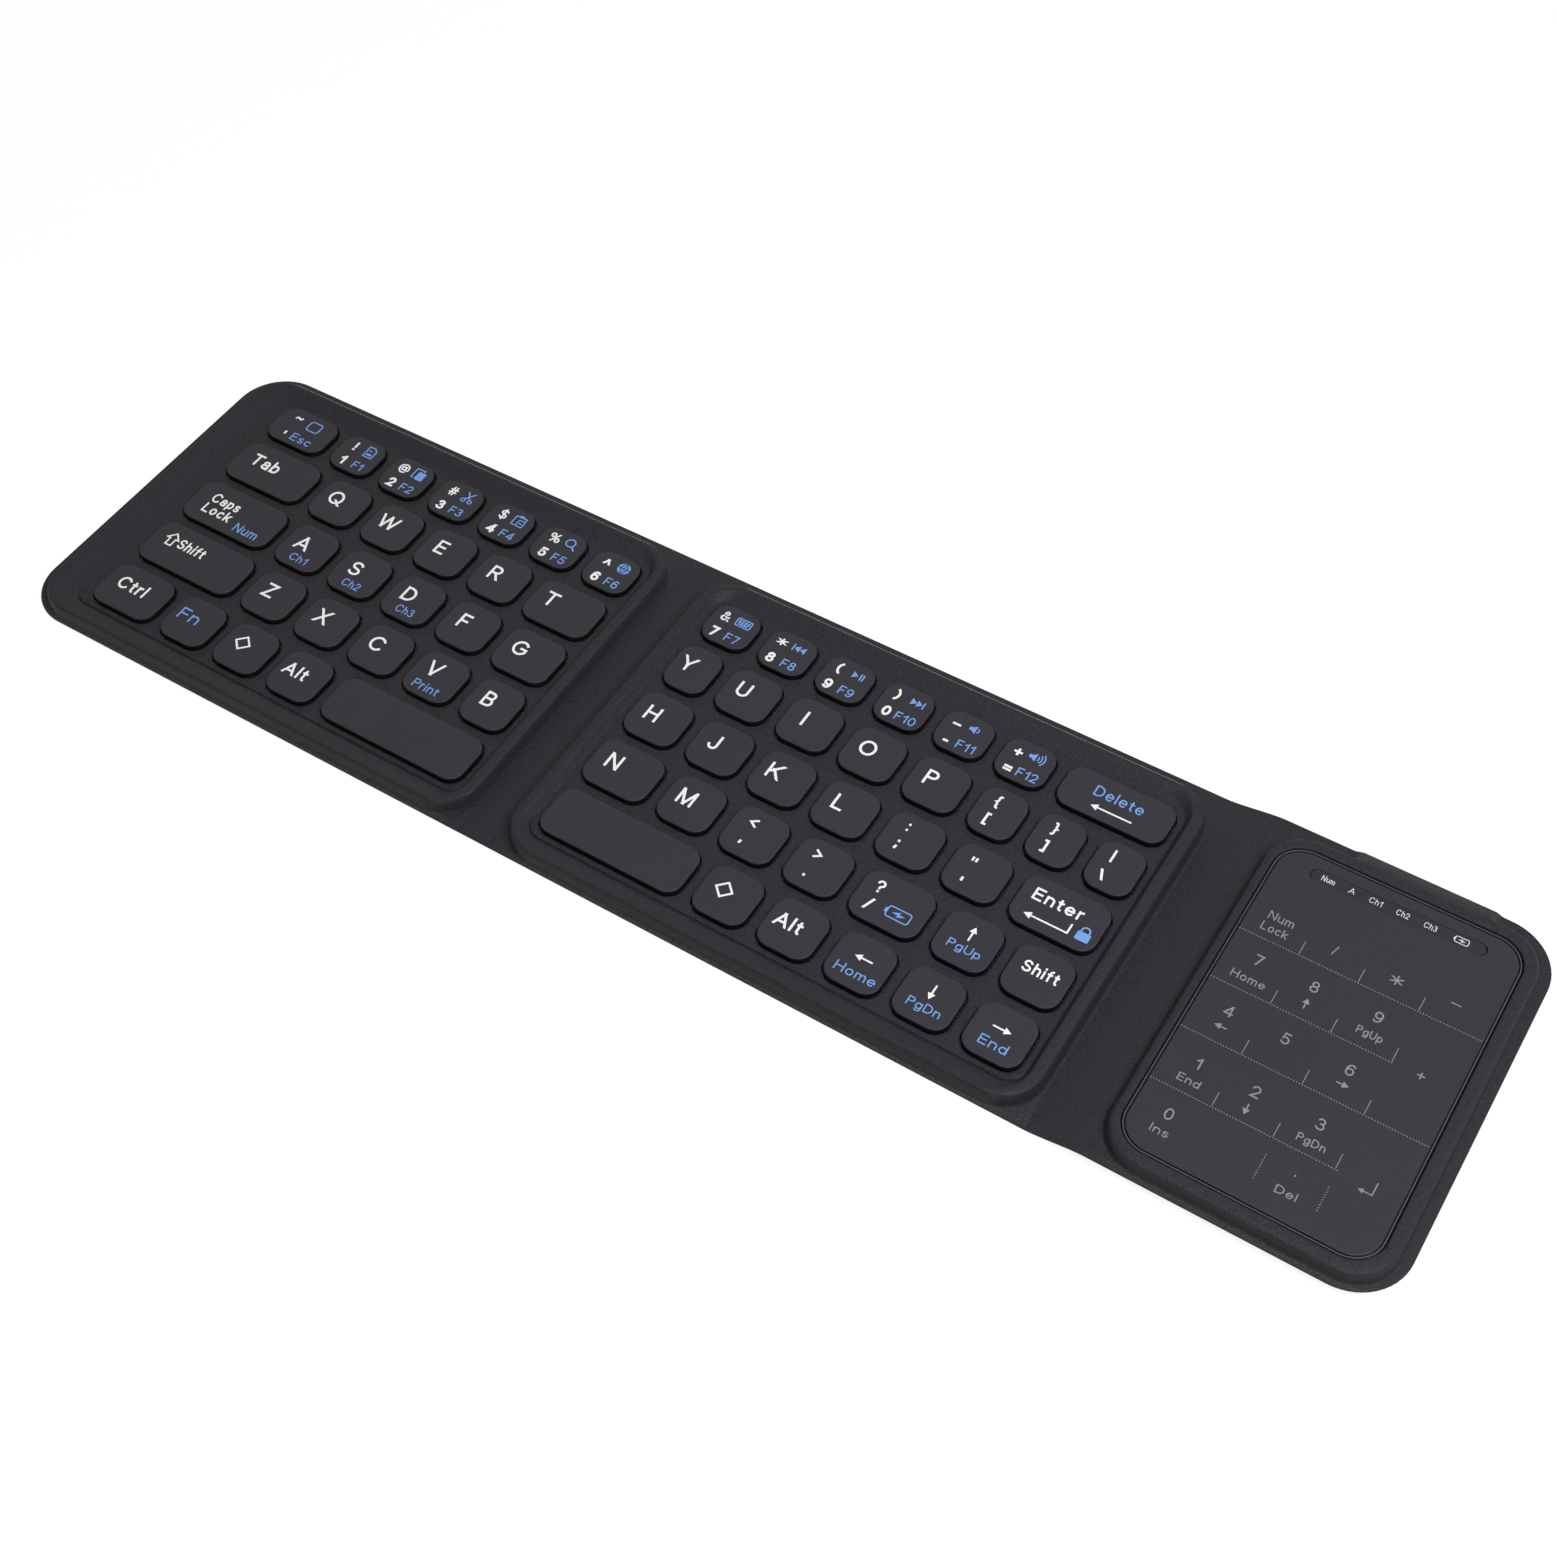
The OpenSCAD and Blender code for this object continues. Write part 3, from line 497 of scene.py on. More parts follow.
def wall_rings(ends, foot, wall):
    rings = []
    for s, z, front_s, front_z in wall:
        box = moved_in(foot, (s, s, front_s, s))
        box = (max(box[0], ends[0] + CLEAR_OF_FOLD), min(box[1], ends[1] - CLEAR_OF_FOLD), *box[2:])
        rings.append(lowered_front(ring(box, FOOT_R - s, z, RING_STEPS), FOOT_R - s, front_z))
    return rings


def wells(panel, row=None):
    """The boxes of a panel's key wells: (row, place in the row, box)."""
    for r, widths in enumerate(panel["rows"]):
        x = panel["block_x"]
        y = BLOCK_Y + r * ROW_PITCH
        for i, w in enumerate(widths):
            if row is None or r == row:
                yield r, i, (x, x + w, y, y + (NUMBER_D if r == NUMBER_ROW else LETTER_D))
            x += w + KEY_GAP


def key_panel(name, panel):
    """Closed leather body of a key panel: flange, rim, dished slope, deck pierced by wells, and hollow."""
    bm = bmesh.new()
    foot, deck = panel["foot"], panel["deck"]
    rim = moved_in(foot, panel["rim"])
    (x0, x1), corners = panel["ends"], panel["corners"]
    under = moved_in((x0, x1, FRONT_Y, BACK_Y), UNDER_IN)
    rings = [ring(under, [max(r - UNDER_IN, 0) for r in corners], 0, RING_STEPS)]
    rings += flange_rings(panel["ends"], corners, 0) + wall_rings(panel["ends"], foot, KEY_WALL)
    rings.append(ring(moved_in(rim, -CREST_OUT), CREST_R + CREST_OUT, KEY_RIM_Z, RING_STEPS))
    for t, z, front_z in DISH:
        r = CREST_R + (DECK_R - CREST_R) * t
        rings.append(lowered_front(ring(between(rim, deck, t), r, z, RING_STEPS), r, front_z))
    rings.append(ring(moved_in(deck, DECK_IN), DECK_R - DECK_IN, DECK_Z, RING_STEPS))
    loops = loft(bm, rings)
    hollow = moved_in(deck, HOLLOW_OUT)
    inner = loft(bm, [ring(hollow, HOLLOW_R, z, RING_STEPS) for z in (DECK_UNDER_Z, SKIN_T)])
    lips = [loft(bm, rings_round(box, WELL_R, WELL_LIP, out=True)) for _, _, box in wells(panel)]
    fill(bm, loops[0])
    fill(bm, loops[-1], *[lip[0] for lip in lips])
    fill(bm, inner[0], *[lip[-1] for lip in lips])
    fill(bm, inner[1])
    return finished(name, bm)


# The back edge swells round the charging socket: where each ring of the touch panel goes there,
# as the height of its underside edge, outer edge, and the wall above
SWELL_LEFT, SWELL_RIGHT, SWELL_SOFT = 132.8, 167.6, 2.4
SWELL_EDGE = [0.03, 0.07, 0.14, 0.28, 3.34, 3.52, 3.64, 3.72]
SWELL_WALL = [5.2, 5.3, 5.38, 5.47, 5.57, 5.67, 5.77, 5.87, 5.95]


def swelling(x):
    t = min(max(min(x - SWELL_LEFT, SWELL_RIGHT - x) / SWELL_SOFT, 0), 1)
    return t * t * (3 - 2 * t)


def with_back_points(points):
    """Adds points along the back side of a ring, close together round the swelling."""
    back = RING_STEPS + 3 + RING_STEPS + 2
    start, end = points[back], points[back + 1]
    soft = [SWELL_SOFT * i / 5 for i in range(6)]
    xs = [SWELL_RIGHT - d for d in soft]
    xs += [xs[-1] + (SWELL_LEFT + SWELL_SOFT - xs[-1]) * i / 8 for i in range(1, 8)]
    xs += [SWELL_LEFT + d for d in reversed(soft)]
    extra = [(x, start[1], start[2]) for x in xs]
    return points[:back + 1] + extra + points[back + 1:], (back + 1, back + 1 + len(extra))


# The touch panel: its tray's underside as distance in and height, with the height it takes at the
# swelling, the lip of the pad's recess, and the posts that carry the board
TRAY = [(3.2, 0, 0), (1.75, 0, 0), (1.35, 0.04, 0), (1.1, 0.16, 0.005), (0.9, 0.45, 0.01), (0.6, 1.0, 0.015),
        (0.2, 1.6, 0.02), (0.0, 1.85, 0.02), (-0.15, 1.96, 0.025)]
TRAY_BOX, TRAY_R = (117.5, 179.5, -47.45, 47.45), 10
TOUCH_FOOT = (116.2, 179.5, -48.55, 46.55)
RECESS_FLOOR_Z, TOUCH_SKIN_T = 4.4, 0.8
RECESS_LIP = [(0.34, TOUCH_RIM_Z), (0.2, 5.98), (0.07, 5.91), (0.0, 5.78), (0.0, RECESS_FLOOR_Z)]
TOUCH_HOLLOW, TOUCH_HOLLOW_R = (121.15, 173.75, -42.75, 40.65), 3
POST_IN, POST_YS, POST_HALF = 3.6, (24.45, 37.95), 1.2
POST = [(0.0, 0.79), (0.0, 1.7), (0.1, 1.8)]


def touch_panel(name):
    """Closed leather body of the touch panel: tray, flange, rim, recess for the pad, and hollow."""
    bm = bmesh.new()
    ends, corners = (FOLD_D, RIGHT_X), (CORNER_R, CORNER_R, 0, 0)
    rows = list(zip(rings_round(TRAY_BOX, TRAY_R, [(s, z) for s, z, _ in TRAY], RING_STEPS),
                    [target for _, _, target in TRAY]))
    rows += zip(flange_rings(ends, corners, TOUCH_FLANGE_Z), SWELL_EDGE)
    rows += zip(wall_rings(ends, TOUCH_FOOT, TOUCH_WALL), SWELL_WALL)
    inside = rings_round(moved_in(PAD, -1.0), RECESS_R, RECESS_LIP, RING_STEPS, out=True)
    inside += [ring(TOUCH_HOLLOW, TOUCH_HOLLOW_R, z, RING_STEPS) for z in (RECESS_FLOOR_Z, TOUCH_SKIN_T)]
    rings = []
    for points, target in rows + [(points, None) for points in inside]:
        points, (first, last) = with_back_points(points)
        if target is not None:
            for i in range(first, last):
                x, y, z = points[i]
                points[i] = (x, y, z + (target - z) * swelling(x))
        rings.append(points)
    solid(bm, rings)
    for x in (TOUCH_HOLLOW[0] + POST_IN, TOUCH_HOLLOW[1] - POST_IN):
        for y in POST_YS:
            post = (x - POST_HALF, x + POST_HALF, y - POST_HALF, y + POST_HALF)
            solid(bm, rings_round(post, POST_HALF - LEAST_R, POST))
    return finished(name, bm)


def carve(piece, *cutters):
    """Cuts each cutter out of a piece, and deletes the cutters."""
    for cutter in cutters:
        cut = piece.modifiers.new("cut", "BOOLEAN")
        cut.operation, cut.solver, cut.object = "DIFFERENCE", "EXACT", cutter
    apply_modifiers(piece)
    for cutter in cutters:
        bpy.data.objects.remove(cutter)
    smooth(piece.data)


def block(name, box, r, low, high, upright=False):
    """A closed prism with round corners. Upright ones stand on the X-Z plane and run along Y."""
    bm = bmesh.new()
    solid(bm, [ring(box, r, low), ring(box, r, high)])
    if upright:
        for v in bm.verts:
            v.co = Vector((v.co.x, v.co.z, v.co.y))
    return finished(name, bm)


def spine_strip(name, sections):
    """A stretch of a spine: closed strip of leather through sections given as (x, height of its underside)."""
    bm = bmesh.new()
    profile = [(1.2, 0.0)] + EDGE + [(1.2, FLANGE_T)]
    loops = []
    for x, low in sections:
        points = [(x, FRONT_Y + s, low + z) for s, z in profile]
        points += [(x, BACK_Y - s, low + z) for s, z in reversed(profile)]
        loops.append(points)
    loops = loft(bm, loops)
    bm.faces.new(loops[0])
    bm.faces.new(loops[-1])
    return finished(name, bm)


HINGE_ZONE = 0.5
CLIMB_SOFT, CLIMB_STRAIGHT = 0.55, 0.45


def build_spines():
    for side, x0, x1, rise, bodies in (
            ("left_spine", FOLD_A, FOLD_B, 0.0, ("left_panel", "left_spine", "middle_panel")),
            ("right_spine", FOLD_C, FOLD_D, TOUCH_FLANGE_Z, ("middle_panel", "right_spine", "touch_panel"))):
        def low(x):
            t = (x - x0) / (x1 - x0)
            return rise * (CLIMB_SOFT * t * t * (3 - 2 * t) + CLIMB_STRAIGHT * t)
        middle = (x0 + x1) / 2
        zone = [HINGE_ZONE * i / 8 for i in range(9)]
        rest = [HINGE_ZONE + (middle - x0 - HINGE_ZONE) * i / 8 for i in range(1, 9)]
        first = [x0 + d for d in zone + rest]
        last = [x1 - d for d in reversed(zone + rest)]
        for part, xs, pair, span, node in (
                ("left_half", first, bodies[:2], (x0, x0 + HINGE_ZONE), "_outer_skin"),
                ("right_half", last, bodies[1:], (x1 - HINGE_ZONE, x1), "_inner_skin")):
            piece = spine_strip(f"{side}_{part}", [(x, low(x)) for x in xs])
            piece.data.materials.append(SPINE_LEATHER)
            start, end = [x * MM for x in span]
            level = (low(span[0]) + FLANGE_T) * MM
            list(pair)
            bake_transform(piece)
            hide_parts(side + node)


def build_panels():
    for side, panel in PANELS.items():
        piece = key_panel(f"{side}_panel_leather", panel)
        dress(piece, f"{side}_panel", LEATHER, "leather", (f"{side}_outer_skin", f"{side}_top_cover"))
    piece = touch_panel("touch_panel_leather")
    hole = block("socket_room", (SOCKET_X - 4.52, SOCKET_X + 4.52, SOCKET_Z - 1.65, SOCKET_Z + 1.65), 1.64,
                 42.1, BACK_Y - 0.4, upright=True)
    mouth = block("socket_mouth", (SOCKET_X - 4.3, SOCKET_X + 4.3, SOCKET_Z - 1.36, SOCKET_Z + 1.36), 1.35,
                  BACK_Y - 0.6, BACK_Y + 1, upright=True)
    pocket = block("tongue_pocket", (SOCKET_X - 9.5, SOCKET_X + 9.5, 40.3, 44.75), 0.3, 0.81, 4.1)
    carve(piece, hole, mouth, pocket)
    dress(piece, "touch_panel", LEATHER, "leather", ("touch_bottom_tray", "touch_top_cover"))


# ---- keycaps ----

# Outside of a keycap, from its skirt to its top, as distance in and height; then its hollow
CAP_OUT = [(0.02, SKIRT_Z), (0.0, SKIRT_Z + 0.06), (0.0, 4.22), (0.02, 4.32), (0.07, 4.41), (0.15, 4.465),
           (0.26, 4.49), (0.42, KEY_TOP_Z), (1.2, KEY_TOP_Z)]
CAP_IN = [(0.02, SKIRT_Z), (CAP_WALL, SKIRT_Z), (CAP_WALL, CAP_UNDER_Z), (CAP_WALL + 0.4, CAP_UNDER_Z)]


def keycap(bm, box):
    box, r = moved_in(box, CAP_GAP), WELL_R - CAP_GAP
    outside = loft(bm, rings_round(box, r, CAP_OUT))
    inside = loft(bm, [outside[0]] + rings_round(box, r, CAP_IN[1:]))
    fill(bm, outside[-1])
    fill(bm, inside[-1])


def key_boxes(node):
    side, row, first, last = KEY_NODES[node]
    return [(side, r, i, box) for r, i, box in wells(PANELS[side], row) if first <= i <= last]


def build_keycaps():
    for node in KEY_NODES:
        bm = bmesh.new()
        for _, _, _, box in key_boxes(node):
            keycap(bm, box)
        dress(finished(f"{node}_cap", bm), node, CAP_PLASTIC, "keycap", (node,))


def build_key_springs():
    """The domes and scissor lifts have the solids' own shapes, parted into one piece for each key node."""
    for kind, material, slot in (("rubber_domes", DOME_SILICONE, "dome_rubber"),
                                 ("scissor_lifts", LIFT_PLASTIC, "lift_plastic")):
        for side in PANELS:
            solid = f"{side}_{kind}"
            whole = bmesh.new()
            whole.from_mesh(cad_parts[solid].data)
            bmesh.ops.remove_doubles(whole, verts=whole.verts, dist=1e-6)
            bmesh.ops.scale(whole, vec=(1 / MM, 1 / MM, 1 / MM), verts=whole.verts)
            for node, (panel, *_) in KEY_NODES.items():
                if panel != side:
                    continue
                bm = whole.copy()
                boxes = [box for _, _, _, box in key_boxes(node)]
                others = [v for v in bm.verts if not any(
                    x0 < v.co.x < x1 and y0 < v.co.y < y1 for x0, x1, y0, y1 in boxes)]
                bmesh.ops.delete(bm, geom=others, context="VERTS")
                key = node.removesuffix("_keys").removesuffix("_key")
                piece = dress(finished(f"{key}_{kind}", bm), f"{side}_panel", material, slot, (solid,))
                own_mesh(piece)
            whole.free()


# ---- printed marks ----

INK_T, INK_DEPTH, INK_STEP, INK_STEPS = 0.02, 0.01, 0.0015, 7
SAME_POINT = 1e-4
LETTER_GAP = 0.17


def bow(x, y, rx, ry, start, end, steps=12):
    """Points along part of an ellipse."""
    turn = [math.radians(start + (end - start) * i / steps) for i in range(int(steps) + 1)]
    return [(x + rx * math.cos(a), y + ry * math.sin(a)) for a in turn]


def rectangle(x, y, w, d, r=0.0):
    corners = [(x + i * (w / 2 - r), y + j * (d / 2 - r)) for i, j in ((1, -1), (1, 1), (-1, 1), (-1, -1))]
    if not r:
        return corners[3:] + corners[:3]
    return [p for i, (cx, cy) in enumerate(corners) for p in bow(cx, cy, r, r, 90 * i - 90, 90 * i, 4)]


def path(text):
    """Points written as text. x,y is a point, x,y,width,depth,corner a rectangle, with or without the corner,
    and x,y,rx,ry,start,end,steps a bow, with or without the steps. A point met twice in a row counts once."""
    points = []
    for word in text.split():
        numbers = [] if word in STROKES else [float(n) for n in word.split(",")]
        if not numbers:
            more = path(STROKES[word])
        elif len(numbers) == 2:
            more = [tuple(numbers)]
        else:
            more = rectangle(*numbers) if len(numbers) < 6 else bow(*numbers)
        if points and math.dist(points[-1], more[0]) < SAME_POINT:
            more = more[1:]
        points += more
    return points


# The lettering, stroke by stroke along the middle of each stroke: the letter, its width, then its strokes. A
# capital is 1 high from 0. Strokes end square, and long slanting ones end level
STROKES = {
    "STEM": "0,0 0,1",
    "BOWL": ".28,.34,.28,.34,0,360,18",
    "ARCH": "0,.3 .26,.42,.26,.26,180,0 .52,0",
    "ESS": ".33,.755,.3,.245,24,270 .33,.255,.33,.255,90,-156",
    "PEE": "0,1 .34,.74,.27,.26,90,-90 0,.48",
    "OVAL": ".46,.5,.46,.5,0,360,24",
}
LETTERING = r"""
A .86 / 0,0 .43,1 / .86,0 .43,1 / .18,.3 .68,.3
B .63 / STEM / 0,1 .33,.765,.25,.235,90,-90 0,.53 / 0,.53 .36,.265,.27,.265,90,-90 0,0
C .86 / .46,.5,.46,.5,42,318,18
D .74 / 0,0 .28,.5,.46,.5,-90,90,14 0,1 0,0
E .58 / .58,1 0,1 0,0 .58,0 / 0,.52 .52,.52
F .55 / .55,1 0,1 0,0 / 0,.49 .47,.49
G .88 / .46,.5,.46,.5,42,320,18 .88,.25 .88,.47 / .54,.47 .88,.47
H .72 / STEM / .72,0 .72,1 / 0,.52 .72,.52
I 0 / STEM
J .5 / .5,1 .25,.27,.25,.27,0,-172
K .74 / STEM / .12,.42 .7,1 / .29,.58 .74,0
L .56 / 0,1 0,0 .56,0
M .9 / STEM / .9,0 .9,1 / .03,1 .45,0 / .87,1 .45,0
N .74 / STEM / .74,0 .74,1 / .04,1 .7,0
O .92 / OVAL
P .61 / STEM / PEE
Q .92 / OVAL / .58,.26 .9,-.04
R .65 / STEM / PEE / .33,.48 .65,0
S .66 / ESS
T .74 / 0,1 .74,1 / .37,0 .37,1
U .7 / 0,1 .35,.35,.35,.35,180,360 .7,1
V .82 / 0,1 .41,0 / .82,1 .41,0
W 1.24 / 0,1 .31,0 / .62,1 .31,0 / .62,1 .93,0 / 1.24,1 .93,0
X .78 / 0,0 .76,1 / .02,1 .78,0
Y .8 / 0,1 .4,.42 / .8,1 .4,.42 / .4,0 .4,.45
Z .68 / .02,1 .66,1 / .66,1 .03,0 / 0,0 .68,0
a .5 / .26,.43,.24,.25,158,0 .5,0 / .5,.39 .2,.36 .18,.18,.18,.18,90,270 .32,0 .5,.14
b .56 / STEM / BOWL
c .5 / .28,.34,.28,.34,48,312
d .56 / BOWL / .56,0 .56,1
e .56 / .28,.34,.28,.34,5,312,16 / 0,.35 .55,.35
f .3 / .13,0 .31,.8,.18,.2,180,98,6 / 0,.66 .3,.66
g .56 / BOWL / .56,.68 .28,-.06,.28,.23,0,-150
h .52 / STEM / ARCH
i 0 / 0,0 0,.68 / 0,.97 0,1
k .5 / STEM / .08,.24 .47,.68 / .2,.4 .5,0
l 0 / STEM
m .84 / 0,0 0,.68 / 0,.3 .21,.47,.21,.21,180,0 .42,0 / .42,.3 .63,.47,.21,.21,180,0 .84,0
n .52 / 0,0 0,.68 / ARCH
o .56 / BOWL
p .56 / 0,.68 0,-.28 / BOWL
r .28 / 0,0 0,.68 / 0,.36 .26,.42,.26,.26,180,92
s .46 / .23,.515,.2,.165,28,270 .23,.175,.23,.175,90,-152
t .28 / .12,.88 .27,.16,.15,.16,180,262,6 / 0,.66 .28,.66
u .52 / 0,.68 .26,.26,.26,.26,180,360 / .52,.68 .52,0
0 .62 / .31,.5,.31,.5,0,360,22
1 .32 / .32,0 .32,1 / .3,.92 .02,.72
2 .6 / .3,.71,.29,.29,165,-38 .03,0 .6,0
3 .6 / .28,.765,.26,.235,155,-90 / .29,.265,.31,.265,90,-155
4 .66 / .5,1 0,.26 / 0,.25 .66,.25 / .5,0 .5,1
5 .6 / .56,1 .12,1 .06,.5 .3,.32,.3,.32,128,-152
6 .6 / .3,.31,.3,.31,0,360,18 / .36,.45,.36,.55,52,180 0,.31
7 .58 / 0,1 .58,1 / .56,1 .2,0
8 .6 / .3,.77,.25,.23,0,360,16 / .3,.27,.3,.27,0,360,18
9 .6 / .3,.69,.3,.31,0,360,18 / .24,.55,.36,.55,-128,0 .6,.69
~ .62 / 0,.42 .08,.54 .18,.57 .31,.5 .44,.43 .54,.46 .62,.58
' 0 / 0,.78 0,1
" .3 / 0,.78 0,1 / .3,.78 .3,1
! 0 / 0,.4 0,1 / 0,0 0,.03
@ 1 / .47,.46,.2,.22,0,360,16 / .69,.68 .66,.34 .82,.38,.16,.14,200,330,5 .5,.46,.5,.54,-6,300,22
# .76 / .16,0 .28,1 / .46,0 .58,1 / .02,.32 .7,.32 / .06,.68 .74,.68
$ .66 / ESS / .33,-.14 .33,1.14
% 1 / .2,.76,.2,.23,0,360,14 / .8,.24,.2,.23,0,360,14 / .22,0 .78,1
^ .6 / .04,.5 .3,1 / .56,.5 .3,1
& .76 / .76,0 .24,.62 .17,.76 .21,.91 .34,1 .48,.94 .53,.82 .46,.68 .14,.46 .02,.28 .07,.1 .24,0 .44,.03 .6,.17 .7,.42
* .6 / .3,.32 .3,1 / .0042,.49 .5958,.83 / .0042,.83 .5958,.49
( .24 / .62,.42,.62,.72,126,234
- .34 / .02,.38 .32,.38
_ .6 / 0,.2 .6,.2
+ .6 / 0,.42 .6,.42 / .3,.12 .3,.72
= .6 / 0,.24 .6,.24 / 0,.6 .6,.6
{ .3 / .3,1.08 .19,1.05 .15,.94 .15,.6 .09,.49 0,.44 .09,.39 .15,.28 .15,-.06 .19,-.17 .3,-.2
[ .22 / .22,1.06 0,1.06 0,-.18 .22,-.18
| 0 / 0,-.2 0,1.08
/ .38 / 0,0 .38,1
: 0 / 0,0 0,.03 / 0,.55 0,.58
; .04 / .04,.55 .04,.58 / .04,.03 0,-.14
, .04 / .04,.05 0,-.12
. 0 / 0,0 0,.03
< .52 / .52,.76 0,.42 .52,.08
? .54 / .27,.74,.26,.26,168,-35 .28,.44 .28,.32 / .28,0 .28,.03
"""
GLYPHS = {}
for line in LETTERING.strip().splitlines():
    wide, *strokes = line[2:].split(" / ")
    GLYPHS[line[0]] = (float(wide), *map(path, strokes))
for here, there in ("()", "[]", "{}", "<>", "/\\"):
    wide, *strokes = GLYPHS[here]
    GLYPHS[there] = (wide, *[[(wide - x, y) for x, y in points] for points in strokes])

# Signs as marks drawn about their middle: "fill" and an outline, or the width of a line and its path, with an
# o before it where the line is closed
SIGNS = {
    "page": "o.35 -1.3,-1.8 1.3,-1.8 1.3,.9 .4,1.8 -1.3,1.8 / fill 0,-.85,1.5,.7 / fill -.3,.5,.9,.35",
    "copy": "fill .55,-.35,2.3,2.9,.25 / .35 -1.1,-1.3 -1.7,-1.3 -1.7,1.85 .7,1.85 .7,1.35",
    "scissors": ".38 -1.1,1.9 .65,-.75 / .38 1.1,1.9 -.65,-.75 / o.32 -1,-1.25,.55,.55,0,360,14"
                " / o.32 1,-1.25,.55,.55,0,360,14",
    "paste": ".35 -.5,-1.7 -1.6,-1.7 -1.6,1.3 1.5,1.3 1.5,.6 / fill -.05,1.5,1.4,.75,.2"
             " / o.32 .75,-.75,1.8,2.1,.2 / fill .75,-.75,.9,.35",
    "search": "o.36 -.35,.4,1.25,1.25,0,360,20 / .45 .6,-.55 1.75,-1.7",
    "globe": " / ".join(
        f"fill {p},{q} 0,0,.68,1.435,{a + 8},{a + 82},8"
        f" / fill 0,0,1.75,1.75,{a + 85},{a + 5},8 0,0,.98,1.66,{a + 6},{a + 84},8"
        for a, p, q in ((0, 0.14142, 0.14142), (90, -0.14142, 0.14142), (180, -0.14142, -0.14142),
                        (270, 0.14142, -0.14142))),
    "keyboard": "o.34 0,0,4,2.4,.3 / " + "".join(
        f"fill {(i - 1.5) * 0.82},{row},.66,.42 / " for row in (0.55, 0) for i in range(4)) + "fill 0,-.56,2.6,.42",
    "previous": "fill -.05,0 1.4,1.05 1.4,-1.05 / fill -1.55,0 -.1,1.05 -.1,-1.05 / fill -1.85,0,.36,2.1",
    "pause": "fill .1,0 -1.35,1.05 -1.35,-1.05 / fill .75,0,.36,2.1 / fill 1.45,0,.36,2.1",
    "next": "fill .05,0 -1.4,1.05 -1.4,-1.05 / fill 1.55,0 .1,1.05 .1,-1.05 / fill 1.85,0,.36,2.1",
    "quiet": "fill -1.9,-.5 -1.15,-.5 -.2,-1.25 -.2,1.25 -1.15,.5 -1.9,.5 / .3 -.5,0,1,1,-42,42,8",
    "loud": "fill -2.3,-.5 -1.55,-.5 -.6,-1.25 -.6,1.25 -1.55,.5 -2.3,.5" + "".join(
        f" / .3 -.9,0,{r},{r},-42,42,8" for r in (1, 1.75, 2.5)),
    "lock": "fill 0,-.75,3.2,2.4,.3 / .4 -.95,.3 0,.9,.95,.95,180,0,10 .95,.3",
    "square": "o.36 0,0,3.7,3.3,.8",
    "diamond": "o.5 0,-2.1 2.1,0 0,2.1 -2.1,0",
    "shift": "o.42 0,2.2 1.75,.35 .85,.35 .85,-1.9 -.85,-1.9 -.85,.35 -1.75,.35",
    "enter": ".42 14.5,6 14.5,3.3 5.6,3.3 / fill 3.9,3.3 5.7,4.25 5.7,2.35",
}


